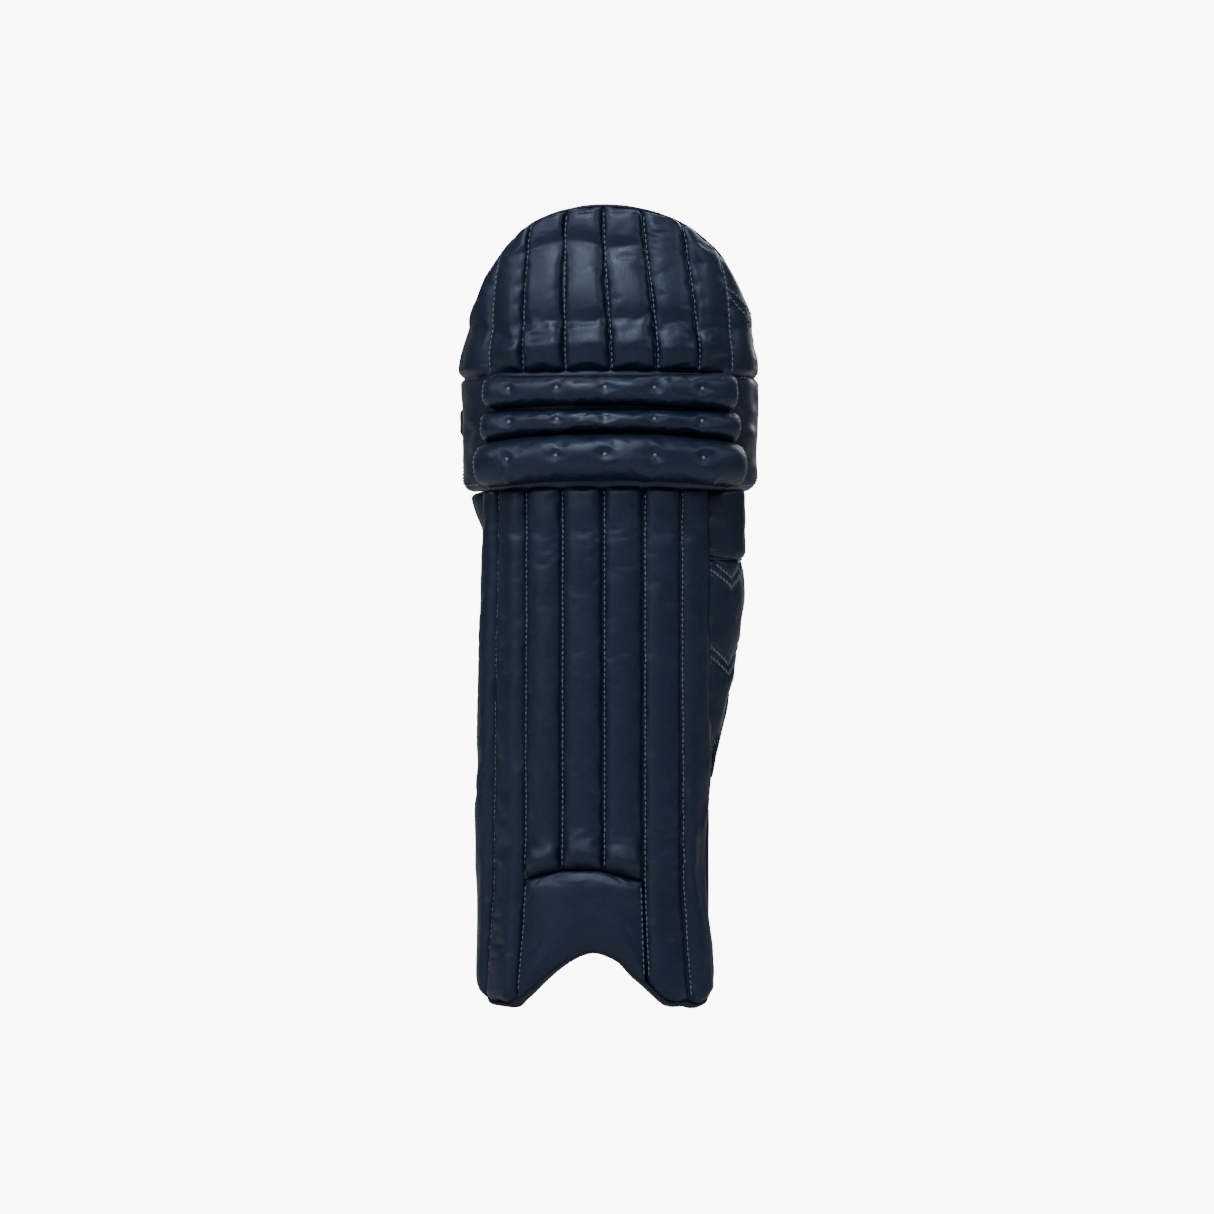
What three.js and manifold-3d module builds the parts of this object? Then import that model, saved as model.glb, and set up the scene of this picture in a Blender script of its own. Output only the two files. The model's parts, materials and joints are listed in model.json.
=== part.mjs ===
// Cricket batting pad (leg guard) for an adult, as the separate pieces a pad maker sews together.
// Millimetres, +Z up. The front of the pad faces -Y, and +X is the side that carries the large calf wing.
import * as THREE from "three";
import { mergeVertices } from "three/addons/utils/BufferGeometryUtils.js";
import Module from "manifold-3d";

const wasm = await Module();
wasm.setup();

// ---- Driving dimensions ----
const SHIN_TOP = 449; // the shin shell ends here and the knee section hinges just above it
const KNEE_LOW = 457;
const KNEE_TOP = 549;
const HAT_LOW = 555; // the top hat is the flap above the knee rolls, hinged just below this
const HAT_SHOULDER = 590; // height where the rounded top of the hat begins
const HAT_RISE = 106.5; // from the shoulder to the top of the foam
const HAT_REACH = 150; // from the middle of the hat to its side, measured along the surface
const CHANNEL = 34.6; // width of one shin cane channel along the surface
const HAT_CHANNEL = 36.4;
const CANE_RISE = 7; // how far a shin cane stands off the foam
const HAT_CANE_RISE = 9;
const SHIN_LEFT = -4 * CHANNEL;
const SHIN_RIGHT = 100; // the channel beside the calf wing is narrower than the rest
const INSTEP_LEFT = -2 * CHANNEL;
const INSTEP_RIGHT = CHANNEL;
const EDGE_LOW = 3.4; // lowest foam, above the binding
const ARCH_RISE = 43; // height of the cut-out over the instep
const ARCH_HALF = 66;
const ARCH_MIDDLE = -12;
const LOBE_RADIUS = 17;
const BINDING = 3; // thickness of the edge binding
const GAP = 0.4; // clearance between neighbouring pieces
const SKIN = 1.2; // thickness of covers and linings
const MIN_ROW = 0.6; // closest two levels of a sheet may come at a sloping edge
const FOAM_IN = -12.2; // foam faces, measured outwards from the stitching surface
const FOAM_OUT = -0.5;
const CANE_IN = 0.5;
const LINING_IN = -13.8;
const LINING_OUT = -12.6;
const WING_START = SHIN_RIGHT + 3;
const WING_LENGTH = 105;
const WING_TOP = 391;
const WING_LEVELS = [270, 310, 355];
const WING_FLARE = 15; // how far the calf wing stands off the line of the shin
const NARROW_START = SHIN_LEFT - BINDING - 1.4; // the narrow wing is sewn to the other side of the shin
const NARROW_WIDTH = 50;
const NARROW_END = NARROW_START - NARROW_WIDTH;
const KNEE_REACH = 235; // from the middle of the knee section to its rear edges, along the surface
const TUFT_PITCH = 42; // spacing of the buttons along a roll
const TUFT_MIDDLE = -4;
// Slope that leaves room for the section above to lean back.
const BACK_FLEX = Math.tan(THREE.MathUtils.degToRad(12));

const group = new THREE.Group();

// ---- Materials ----
const finish = (color, roughness, metalness = 0) =>
  new THREE.MeshStandardMaterial({ color, roughness, metalness });
const NAVY = finish(0x1a2434, 0.42);
const CANE = finish(0xc9a86a, 0.7);
const FOAM = finish(0xd9d6cb, 0.95);
const LINING = finish(0x2a2f38, 0.9);
const WEBBING = finish(0x171c26, 0.8);
const HOOK = finish(0x0f1116, 0.75);
const THREAD = finish(0x8d97a6, 0.7);

const clamp = THREE.MathUtils.clamp;
const smooth = THREE.MathUtils.smoothstep;
const value = (f, ...args) => (typeof f === "function" ? f(...args) : f);
const range = (from, to, steps) =>
  Array.from({ length: steps + 1 }, (_, i) => from + ((to - from) * i) / steps);

// A curve replaced by straight runs between the given levels.
function kinked(levels, curve) {
  return (z) => {
    const next = levels.findIndex((level) => level > z);
    if (next <= 0) return curve(next < 0 && levels.length ? levels.at(-1) : (levels[0] ?? 0));
    const [from, to] = [levels[next - 1], levels[next]];
    return THREE.MathUtils.lerp(curve(from), curve(to), (z - from) / (to - from));
  };
}

// ---- A line round the leg ----
// Seen from above, the pad follows an egg-shaped line round the leg: half an ellipse in front, half behind.
// s is the distance along it, 0 in front and growing towards +X, and off is the distance outwards from it.
// Lean (backwards) and taper change with height, in straight runs between the given levels.
class Wrap {
  constructor({ halfWidth, front, back, centreX = 0, levels = [], lean = () => 0, taper = () => 1 }) {
    Object.assign(this, { halfWidth, front, back, centreX, levels });
    this.lean = kinked(levels, lean);
    this.taper = kinked(levels, taper);
    this.step = Math.PI / 720;
    this.lengths = [0];
    for (let t = this.step / 2; t < 2 * Math.PI; t += this.step) {
      const speed = Math.hypot(halfWidth * Math.cos(t), this.depth(t) * Math.sin(t));
      this.lengths.push(this.lengths.at(-1) + speed * this.step);
    }
    this.length = this.lengths.at(-1);
  }
  depth(t) {
    return Math.cos(t) > 0 ? this.front : this.back;
  }
  angle(s) {
    if (s < 0) return -this.angle(-s);
    let i = 1;
    while (i < this.lengths.length - 1 && this.lengths[i] < s) i++;
    const span = this.lengths[i] - this.lengths[i - 1];
    return (i - 1 + (s - this.lengths[i - 1]) / span) * this.step;
  }
  at(s, z, off = 0) {
    const t = this.angle(s);
    const depth = this.depth(t);
    const normal = new THREE.Vector2(depth * Math.sin(t), -this.halfWidth * Math.cos(t)).normalize();
    const x = (this.halfWidth * Math.sin(t) + off * normal.x) * this.taper(z);
    return new THREE.Vector3(this.centreX + x, this.lean(z) - depth * Math.cos(t) + off * normal.y, z);
  }
}

// The shin kicks forward a little over the foot, and narrows a little towards the knee.
const lower = new Wrap({
  halfWidth: 105,
  front: 67,
  back: 84,
  levels: [0, 110, 180, 430],
  lean: (z) => -12 * clamp(1 - z / 110, 0, 1),
  taper: (z) => 1 - 0.035 * smooth(z, 180, 430),
});
// The knee section stands forward of the shin, and the hat leans back above it.
const UPPER_Y = 26;
const upper = new Wrap({
  halfWidth: 131,
  front: 100,
  back: 88,
  centreX: 2.6,
  levels: [HAT_LOW, 620, 670, 705],
  lean: (z) => UPPER_Y + 20 * Math.pow(clamp((z - HAT_LOW) / 145, 0, 1.1), 1.6),
});
const ankle = new Wrap({ halfWidth: 96.2, front: 60, back: 84, centreX: -11.8 });

// ---- Closed bodies ----
function closed(points, faces) {
  const geometry = new THREE.BufferGeometry();
  const numbers = points.flatMap((p) => [p.x, p.y, p.z]);
  geometry.setAttribute("position", new THREE.Float32BufferAttribute(numbers, 3));
  const [a, b, c] = [0, 1, 2].map(() => new THREE.Vector3());
  let volume = 0;
  for (const face of faces) {
    a.copy(points[face[0]]);
    b.copy(points[face[1]]);
    c.copy(points[face[2]]);
    volume += a.dot(b.cross(c));
  }
  geometry.setIndex(faces.flatMap((f) => (volume < 0 ? [f[0], f[2], f[1]] : f)));
  return geometry;
}

// A sheet of foam, leather or cane that follows a line round the leg. stations are distances along the line,
// and levels are the heights at which the sheet may bend.
function slab(wrap, stations, low, high, inner, outer, levels = wrap.levels) {
  const lows = stations.map((s) => value(low, s));
  const highs = stations.map((s) => value(high, s));
  const bends = levels.filter((level) => level > Math.min(...lows) + 1 && level < Math.max(...highs) - 1);
  const rows = bends.length + 1;
  const height = (i, j) => {
    if (j === 0) return lows[i];
    if (j === rows) return highs[i];
    return clamp(bends[j - 1], lows[i] + j * MIN_ROW, highs[i] - (rows - j) * MIN_ROW);
  };
  const points = [];
  const count = stations.length;
  for (const face of [outer, inner])
    for (let i = 0; i < count; i++)
      for (let j = 0; j <= rows; j++) {
        const z = height(i, j);
        points.push(wrap.at(stations[i], z, value(face, stations[i], z)));
      }
  const at = (layer, i, j) => (layer * count + i) * (rows + 1) + j;
  const faces = [];
  const quad = (a, b, c, d) => faces.push([a, b, c], [a, c, d]);
  const last = count - 1;
  for (let i = 0; i < last; i++) {
    for (let j = 0; j < rows; j++) {
      quad(at(0, i, j), at(0, i + 1, j), at(0, i + 1, j + 1), at(0, i, j + 1));
      quad(at(1, i, j), at(1, i, j + 1), at(1, i + 1, j + 1), at(1, i + 1, j));
    }
    quad(at(0, i, 0), at(1, i, 0), at(1, i + 1, 0), at(0, i + 1, 0));
    quad(at(0, i, rows), at(0, i + 1, rows), at(1, i + 1, rows), at(1, i, rows));
  }
  for (let j = 0; j < rows; j++) {
    quad(at(0, 0, j), at(0, 0, j + 1), at(1, 0, j + 1), at(1, 0, j));
    quad(at(0, last, j), at(1, last, j), at(1, last, j + 1), at(0, last, j + 1));
  }
  return closed(points, faces);
}

// A body through rings of points that all have the outline of section.
function loft(rings, section) {
  const points = rings.flat();
  const size = section.length;
  const faces = [];
  for (let i = 0; i < rings.length - 1; i++)
    for (let k = 0; k < size; k++) {
      const [a, b] = [i * size + k, i * size + ((k + 1) % size)];
      faces.push([a, b, b + size], [a, b + size, a + size]);
    }
  const last = (rings.length - 1) * size;
  const anticlockwise = !THREE.ShapeUtils.isClockWise(section);
  for (const [a, b, c] of THREE.ShapeUtils.triangulateShape(section, [])) {
    faces.push(anticlockwise ? [a, c, b] : [a, b, c]);
    faces.push(anticlockwise ? [last + a, last + b, last + c] : [last + a, last + c, last + b]);
  }
  return closed(points, faces);
}

// A tape or cord that follows an outline drawn on the surface.
// section holds (outwards along the surface, off) pairs.
function edging(wrap, path, section) {
  const rings = path.map(([s, z], i) => {
    const before = path[Math.max(i - 1, 0)];
    const after = path[Math.min(i + 1, path.length - 1)];
    const along = new THREE.Vector2(after[0] - before[0], after[1] - before[1]).normalize();
    return section.map((p) => wrap.at(s + p.x * along.y, z - p.x * along.x, p.y));
  });
  return loft(rings, section);
}

const band = (near, far, inner, outer) => [
  new THREE.Vector2(near, inner),
  new THREE.Vector2(far, inner),
  new THREE.Vector2(far, outer),
  new THREE.Vector2(near, outer),
];

function toSolid(geometry) {
  const plain = geometry.clone();
  plain.deleteAttribute("normal");
  plain.deleteAttribute("uv");
  const merged = mergeVertices(plain, 1e-4);
  const mesh = new wasm.Mesh({
    numProp: 3,
    vertProperties: new Float32Array(merged.attributes.position.array),
    triVerts: new Uint32Array(merged.index.array),
  });
  return new wasm.Manifold(mesh);
}

function toGeometry(solid) {
  const mesh = solid.getMesh();
  const geometry = new THREE.BufferGeometry();
  geometry.setAttribute("position", new THREE.Float32BufferAttribute(mesh.vertProperties, 3));
  geometry.setIndex([...mesh.triVerts]);
  return geometry;
}

function add(name, geometry, material) {
  const mesh = new THREE.Mesh(geometry, material);
  mesh.name = name;
  group.add(mesh);
}

// ---- Shin shell ----
// Height of the lower edge: an arch over the instep between two lobes with rounded outer corners.
function shinLow(s) {
  const fromMiddle = Math.min(Math.abs(s - ARCH_MIDDLE) / ARCH_HALF, 1);
  const arch = ARCH_RISE * Math.pow(1 - Math.pow(fromMiddle, 1.6), 1.1);
  const inset = clamp(LOBE_RADIUS - Math.min(s - SHIN_LEFT, SHIN_RIGHT - s), 0, LOBE_RADIUS);
  const corner = LOBE_RADIUS - Math.sqrt(LOBE_RADIUS ** 2 - inset ** 2);
  return EDGE_LOW + arch + corner;
}

// Upper edge of the plain block over the instep, between the side channels.
const BLOCK_MIDDLE = (INSTEP_LEFT + INSTEP_RIGHT) / 2;
const instepTop = (s) => 112 + 11 * Math.cos(((s - BLOCK_MIDDLE) / (INSTEP_RIGHT - INSTEP_LEFT)) * Math.PI);

// Height of a cane across its channel, from 0 at one side to 1 at the other.
const CANE_POINTS = [0.1, 0.3, 0.7, 0.9];
const caneProfile = (u) => Math.pow(1 - Math.pow(Math.abs(2 * u - 1), 3), 0.6);

// Seams are the lines between channels, as distances along the surface.
const SHIN_SEAMS = [...range(SHIN_LEFT, 2 * CHANNEL, 6), SHIN_RIGHT];
const HAT_SEAMS = range(-4 * HAT_CHANNEL, 4 * HAT_CHANNEL, 8);

const between = (seams, points) =>
  seams.slice(1).flatMap((end, k) => points.map((u) => THREE.MathUtils.lerp(seams[k], end, u)));

function acrossChannel(seams, s) {
  const k = clamp(seams.findIndex((seam) => seam > s) - 1, 0, seams.length - 2);
  return (s - seams[k]) / (seams[k + 1] - seams[k]);
}

const SHIN_STATIONS = [SHIN_LEFT, SHIN_LEFT + 1.5, SHIN_LEFT + 5, SHIN_LEFT + LOBE_RADIUS];
SHIN_STATIONS.push(SHIN_LEFT + LOBE_RADIUS + 4, ARCH_MIDDLE - ARCH_HALF - 4);
SHIN_STATIONS.push(...range(ARCH_MIDDLE - ARCH_HALF, ARCH_MIDDLE + ARCH_HALF, 12));
SHIN_STATIONS.push(ARCH_MIDDLE + ARCH_HALF + 4, SHIN_RIGHT - LOBE_RADIUS - 4);
SHIN_STATIONS.push(SHIN_RIGHT - LOBE_RADIUS, SHIN_RIGHT - 5, SHIN_RIGHT - 1.5, SHIN_RIGHT);

function buildShin() {
  add("shin_foam", slab(lower, SHIN_STATIONS, shinLow, SHIN_TOP, FOAM_IN, FOAM_OUT), FOAM);
  add("shin_lining", slab(lower, SHIN_STATIONS, shinLow, SHIN_TOP, LINING_IN, LINING_OUT), LINING);

  const inInstep = (s) => s > INSTEP_LEFT && s < INSTEP_RIGHT;
  const coverLow = (s) => (inInstep(s) ? instepTop(s) + 1 : shinLow(s));
  const coverOff = (s) => CANE_RISE * caneProfile(acrossChannel(SHIN_SEAMS, s));
  const inner = (s) => coverOff(s) + GAP;
  const outer = (s) => coverOff(s) + GAP + SKIN;
  const coverStations = between(SHIN_SEAMS, [0.03, ...CANE_POINTS, 0.97]);
  add("shin_cover", slab(lower, coverStations, coverLow, SHIN_TOP, inner, outer), NAVY);
  for (let k = 0; k < SHIN_SEAMS.length - 1; k++) {
    const stations = between(SHIN_SEAMS.slice(k, k + 2), CANE_POINTS);
    const cane = slab(lower, stations, (s) => coverLow(s) + 6, SHIN_TOP - 5, CANE_IN, coverOff);
    add(`shin_cane_${k + 1}`, cane, CANE);
  }

  const blockStations = range(INSTEP_LEFT + 2.5, INSTEP_RIGHT - 2.5, 8);
  const blockShare = (s) => Math.abs((2 * (s - BLOCK_MIDDLE)) / (3 * CHANNEL));
  const blockRise = (s) => 6.5 * Math.pow(1 - Math.pow(blockShare(s), 4), 0.5);
  const blockLow = (s) => shinLow(s) + 3;
  add("instep_pad", slab(lower, blockStations, blockLow, (s) => instepTop(s) - 5, CANE_IN, blockRise), FOAM);
  const blockIn = (s) => blockRise(s) + GAP;
  const blockOut = (s) => blockRise(s) + GAP + SKIN;
  add("instep_cover", slab(lower, blockStations, shinLow, (s) => instepTop(s) - 1, blockIn, blockOut), NAVY);
}

// One leather binding runs down the left side, round both lobes and the arch, and up to the calf wing.
function buildBinding() {
  const path = [SHIN_TOP - 10, 430, 180, 110].map((z) => [SHIN_LEFT, z]);
  path.push(...SHIN_STATIONS.map((s) => [s, shinLow(s)]));
  path.push(...[110, 180, 192].map((z) => [SHIN_RIGHT, z]));
  add("shin_binding", edging(lower, path, band(GAP, GAP + BINDING, LINING_IN, FOAM_OUT)), NAVY);
}

// Upright padded bolsters on the leg side keep the shin clear of the shell. Their crowns are flat.
function buildBolsters() {
  const places = { left: -62, right: 32 };
  for (const [side, middle] of Object.entries(places)) {
    const depths = new Map([[-16, 4], [-12, 10], [-8, 13], [8, 13], [12, 10], [16, 4]]);
    const stations = [...depths.keys()].map((d) => middle + d);
    const inner = (s) => LINING_IN - 1 - depths.get(Math.round(s - middle));
    add(`shin_bolster_${side}`, slab(lower, stations, 92, 425, inner, LINING_IN - 1), NAVY);
  }
}

// Short lobes of padding behind the top of the shin, just under the knee section. They stand off the line
// of the shin by flare, and low and high give their edges next to the shin.
function buildSidePad(name, from, to, low, high, flare) {
  const away = (s) => Math.abs((s - from) / (to - from));
  const standOff = (s) => flare * smooth(away(s), 0, 0.5);
  const rise = (s) => standOff(s) + 8 * Math.pow(Math.sin(Math.PI * away(s)), 0.5) - 1;
  const inner = (s) => standOff(s) - 9;
  const stations = range(Math.min(from, to), Math.max(from, to), 7);
  add(`side_pad_${name}`, slab(lower, stations, low, (s) => high - 8 * away(s), inner, rise), NAVY);
}

// ---- Wings ----
// Lower edge of the calf wing, which sweeps up from the seam.
const wingLow = (s) => 203 + 100 * (1 - Math.exp(-(s - WING_START) / 34));
const wingHigh = (s) => WING_TOP - 14 * smooth(s - WING_START, WING_LENGTH - 30, WING_LENGTH);
function wingFlare(s, z) {
  const across = clamp((s - WING_START) / (WING_LENGTH - 16), 0, 1);
  return WING_FLARE * smooth(z, 255, 365) * Math.sin(Math.PI * across) ** 2;
}

function buildCalfWing() {
  const end = WING_START + WING_LENGTH;
  const stations = [WING_START, WING_START + 7, ...range(WING_START + 16, end - 10, 6), end];
  const swell = (s) => Math.pow(Math.max(0, Math.sin((Math.PI * (s - WING_START)) / WING_LENGTH)), 0.5);
  const foamIn = (s, z) => wingFlare(s, z) - 9;
  const foamOut = (s, z) => wingFlare(s, z) + 4 * swell(s) - 1;
  add("calf_wing_foam", slab(lower, stations, wingLow, wingHigh, foamIn, foamOut, WING_LEVELS), FOAM);
  const coverIn = (s, z) => foamOut(s, z) + GAP;
  const coverOut = (s, z) => foamOut(s, z) + GAP + SKIN;
  add("calf_wing_cover", slab(lower, stations, wingLow, wingHigh, coverIn, coverOut, WING_LEVELS), NAVY);
  const liningIn = (s, z) => foamIn(s, z) - GAP - SKIN;
  const liningOut = (s, z) => foamIn(s, z) - GAP;
  add("calf_wing_lining", slab(lower, stations, wingLow, wingHigh, liningIn, liningOut, WING_LEVELS), LINING);
}

function buildNarrowWing() {
  const stations = range(NARROW_END, NARROW_START, 4);
  const away = (s) => (NARROW_START - s) / NARROW_WIDTH;
  const low = (s) => 46 + 30 * away(s) ** 2;
  const high = (s) => 400 - 22 * away(s) ** 2;
  add("narrow_wing_foam", slab(lower, stations, low, high, -9, FOAM_OUT), FOAM);
  add("narrow_wing_cover", slab(lower, stations, low, high, 0, SKIN), NAVY);
  add("narrow_wing_lining", slab(lower, stations, low, high, -10.6, -9.4), LINING);
  const patch = range(NARROW_END + 3, NARROW_START - 3, 4);
  add("loop_patch_calf", slab(lower, patch, 331, 373, 1.6, 2.3), HOOK);
  add("loop_patch_ankle", slab(lower, patch, 86, 124, 1.6, 2.3), HOOK);
}

// ---- Knee section ----
const kneeBehind = (s) => Math.max(0, upper.at(s, KNEE_LOW).y - upper.at(0, KNEE_LOW).y);
const kneeLow = (s) => KNEE_LOW + kneeBehind(s) * BACK_FLEX;
const kneeHigh = (s) => KNEE_TOP - 16 * smooth(Math.abs(s), 165, KNEE_REACH);

// The three rolls across the knee; low and high are a roll's edges, reach is its half length, and archLow and
// archHigh are how far the edges bow up in the middle.
const ROLLS = {
  upper: { low: 519.5, high: 550, reach: 113, depth: 23, archLow: 0, archHigh: 0 },
  middle: { low: 490.5, high: 518.5, reach: 117, depth: 21, archLow: 8, archHigh: 0 },
  lower: { low: 451.5, high: 489.5, reach: 120, depth: 27, archLow: 6, archHigh: 8 },
};
const BACK_OF_ROLL = 3.8;

function rollEdges(roll, s) {
  const bow = 1 - (s / roll.reach) ** 2;
  return [roll.low + roll.archLow * bow, roll.high + roll.archHigh * bow];
}

// A D-shaped section, as (off, height) pairs, with the flat at the back.
function rollSection(roll, s, inset) {
  const [low, high] = rollEdges(roll, s);
  const end = Math.pow(1 - Math.pow(Math.abs(s) / (roll.reach + 4), 6), 0.5);
  const half = ((high - low) / 2) * (0.6 + 0.4 * end) - inset;
  const depth = (roll.depth - BACK_OF_ROLL) * (0.35 + 0.65 * end) - inset;
  return range(-90, 90, 8).map((degrees) => {
    const angle = THREE.MathUtils.degToRad(degrees);
    const height = (low + high) / 2 + half * Math.sin(angle);
    return new THREE.Vector2(BACK_OF_ROLL + depth * Math.cos(angle), height);
  });
}

function buildRoll(name, roll) {
  const { reach } = roll;
  const stations = [-reach, -reach + 7, ...range(-94, 94, 8), reach - 7, reach];
  const ring = (s, section) => section.map((p) => upper.at(s, p.y, p.x));
  const core = (s) => rollSection(roll, s, SKIN + GAP);
  const cover = (s) => [...rollSection(roll, s, 0), ...rollSection(roll, s, SKIN).reverse()];
  let coreSolid = toSolid(loft(stations.map((s) => ring(s, core(s))), core(0)));
  let coverSolid = toSolid(loft(stations.map((s) => ring(s, cover(s))), cover(0)));

  // Five cords pull dimples into the roll. They are sewn to a tape behind it, and each ends in a button.
  const tapeStations = range(TUFT_MIDDLE - 2 * TUFT_PITCH - 8, TUFT_MIDDLE + 2 * TUFT_PITCH + 8, 12);
  const middle = (s) => (rollEdges(roll, s)[0] + rollEdges(roll, s)[1]) / 2;
  const tape = slab(upper, tapeStations, (s) => middle(s) - 4, (s) => middle(s) + 4, 1.7, 2.9);
  let tufts = toSolid(tape);
  for (let k = -2; k <= 2; k++) {
    const s = TUFT_MIDDLE + k * TUFT_PITCH;
    const [from, to] = [upper.at(s, middle(s), 2.2), upper.at(s, middle(s), roll.depth + 1.4)];
    const front = upper.at(s, middle(s), roll.depth + 0.5);
    const direction = to.clone().sub(from).normalize();
    const turned = new THREE.Quaternion().setFromUnitVectors(new THREE.Vector3(0, 1, 0), direction);
    const along = (radius, sides, a, b) => {
      const cylinder = new THREE.CylinderGeometry(radius, radius, a.distanceTo(b), sides);
      cylinder.applyQuaternion(turned);
      cylinder.translate(...a.clone().add(b).multiplyScalar(0.5));
      return toSolid(cylinder);
    };
    const hole = along(2.1, 6, upper.at(s, middle(s), -4), upper.at(s, middle(s), roll.depth + 8));
    coreSolid = coreSolid.subtract(hole);
    coverSolid = coverSolid.subtract(hole);
    tufts = tufts.add(along(1.5, 6, from, to)).add(along(3.2, 8, front, to));
  }
  add(`knee_roll_core_${name}`, toGeometry(coreSolid), FOAM);
  add(`knee_roll_cover_${name}`, toGeometry(coverSolid), NAVY);
  add(`tufting_${name}`, toGeometry(tufts), THREAD);
}

function buildKnee() {
  const stations = [-KNEE_REACH, -205, -180, ...range(-155, 155, 12), 180, 205, KNEE_REACH];
  add("knee_foam", slab(upper, stations, kneeLow, kneeHigh, FOAM_IN, FOAM_OUT), FOAM);
  add("knee_cover", slab(upper, stations, kneeLow, kneeHigh, 0, SKIN), NAVY);
  add("knee_lining", slab(upper, stations, kneeLow, kneeHigh, LINING_IN, LINING_OUT), LINING);
  for (const [name, roll] of Object.entries(ROLLS)) buildRoll(name, roll);
  const cupIn = (s) => LINING_IN - GAP - 3 - 8 * Math.sqrt(Math.abs(s) / 52);
  add("knee_cup", slab(upper, range(-52, 52, 8), 470, 540, cupIn, LINING_IN - 1), NAVY);
  const patch = range(-KNEE_REACH + 2, -KNEE_REACH + 36, 3);
  add("loop_patch_knee", slab(upper, patch, 497, 531, SKIN + GAP, 2.3), HOOK);
}

// ---- Top hat ----
const HAT_SQUARENESS = 1.75; // exponent of the rounded outline
function hatHigh(s) {
  const across = Math.min(Math.abs(s) / HAT_REACH, 1);
  return HAT_SHOULDER + HAT_RISE * Math.pow(1 - Math.pow(across, HAT_SQUARENESS), 1 / HAT_SQUARENESS);
}
const hatLow = (s) => HAT_LOW + kneeBehind(s) * BACK_FLEX;

function buildHat() {
  const sides = [149, 146, 140, 131, 120];
  const stations = [...sides.map((s) => -s), ...range(-109, 109, 12), ...sides.slice().reverse()];
  add("hat_foam", slab(upper, stations, hatLow, hatHigh, FOAM_IN, FOAM_OUT), FOAM);
  add("hat_lining", slab(upper, stations, hatLow, hatHigh, LINING_IN, LINING_OUT), LINING);

  const coverOff = (s) => HAT_CANE_RISE * caneProfile(acrossChannel(HAT_SEAMS, s));
  const inner = (s) => coverOff(s) + GAP;
  const outer = (s) => coverOff(s) + GAP + SKIN;
  const coverStations = between(HAT_SEAMS, [0.03, ...CANE_POINTS, 0.97]);
  add("hat_cover", slab(upper, coverStations, hatLow, hatHigh, inner, outer), NAVY);
  for (let k = 0; k < HAT_SEAMS.length - 1; k++) {
    const stations = between(HAT_SEAMS.slice(k, k + 2), CANE_POINTS);
    const caneLow = (s) => hatLow(s) + 5;
    const caneHigh = (s) => hatHigh(s) - 7;
    add(`hat_cane_${k + 1}`, slab(upper, stations, caneLow, caneHigh, CANE_IN, coverOff), CANE);
  }

  const arc = range(-88, 88, 26).map((degrees) => {
    const angle = THREE.MathUtils.degToRad(degrees);
    const s = HAT_REACH * Math.sign(angle) * Math.pow(Math.abs(Math.sin(angle)), 2 / HAT_SQUARENESS);
    return [s, HAT_SHOULDER + HAT_RISE * Math.pow(Math.cos(angle), 2 / HAT_SQUARENESS)];
  });
  add("hat_binding", edging(upper, arc.reverse(), band(GAP + 0.6, GAP + BINDING, LINING_IN, FOAM_OUT)), NAVY);
}

// ---- Straps ----
// Each strap is sewn to the calf wing side, passes behind the leg and presses its hook patch on a loop patch.
function buildStrap(name, wrap, from, to, low, high, off) {
  const stations = range(from, to, Math.round((to - from) / 15));
  const half = (high - low) / 2;
  const ease = (s) => half * Math.pow(clamp((to - s) / 14, 0.15, 1), 0.4);
  const top = (s) => low + half + ease(s);
  const bottom = (s) => low + half - ease(s);
  add(`strap_${name}_band`, slab(wrap, stations, bottom, top, off + 1.2, off + 3.7), WEBBING);
  add(`strap_${name}_hook`, slab(wrap, stations.slice(-4, -1), low + 4, high - 4, off, off + 0.8), HOOK);
  const padded = stations.slice(2, -5);
  const middle = (padded[0] + padded.at(-1)) / 2;
  const reach = padded.at(-1) - middle + 4;
  const swell = (s) => off + 0.2 - 6 * Math.pow(1 - ((s - middle) / reach) ** 4, 0.5);
  add(`strap_${name}_pad`, slab(wrap, padded, low + 1, high - 1, swell, off + 0.8), LINING);
}

buildShin();
buildBinding();
buildBolsters();
buildSidePad("left", SHIN_LEFT - BINDING - 1, SHIN_LEFT - 36, 407, 442, 4);
buildSidePad("right", WING_START, WING_START + 58, 397, 444, 13);
buildCalfWing();
buildNarrowWing();
buildKnee();
buildHat();
buildStrap("knee", upper, KNEE_REACH - 8, upper.length - KNEE_REACH + 36, 494, 534, 2.7);
buildStrap("calf", lower, WING_START + WING_LENGTH - 8, lower.length + NARROW_START - 7, 332, 372, 2.7);
buildStrap("ankle", ankle, 107, ankle.length - 136, 86, 124, 0);

// The origin goes under the middle of the pad's outline, level with its lowest edge.
const outline = new THREE.Box3().setFromObject(group);
const centre = outline.getCenter(new THREE.Vector3());
for (const mesh of group.children) mesh.geometry.translate(-centre.x, -centre.y, -outline.min.z);

export default group;
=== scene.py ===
"""Cricket leg pad: leather, stitching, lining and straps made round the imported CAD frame.

Lengths are in mm until a mesh is made. The front of the pad faces -Y and +X is the calf wing's side.
"""

import functools
import math

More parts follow.
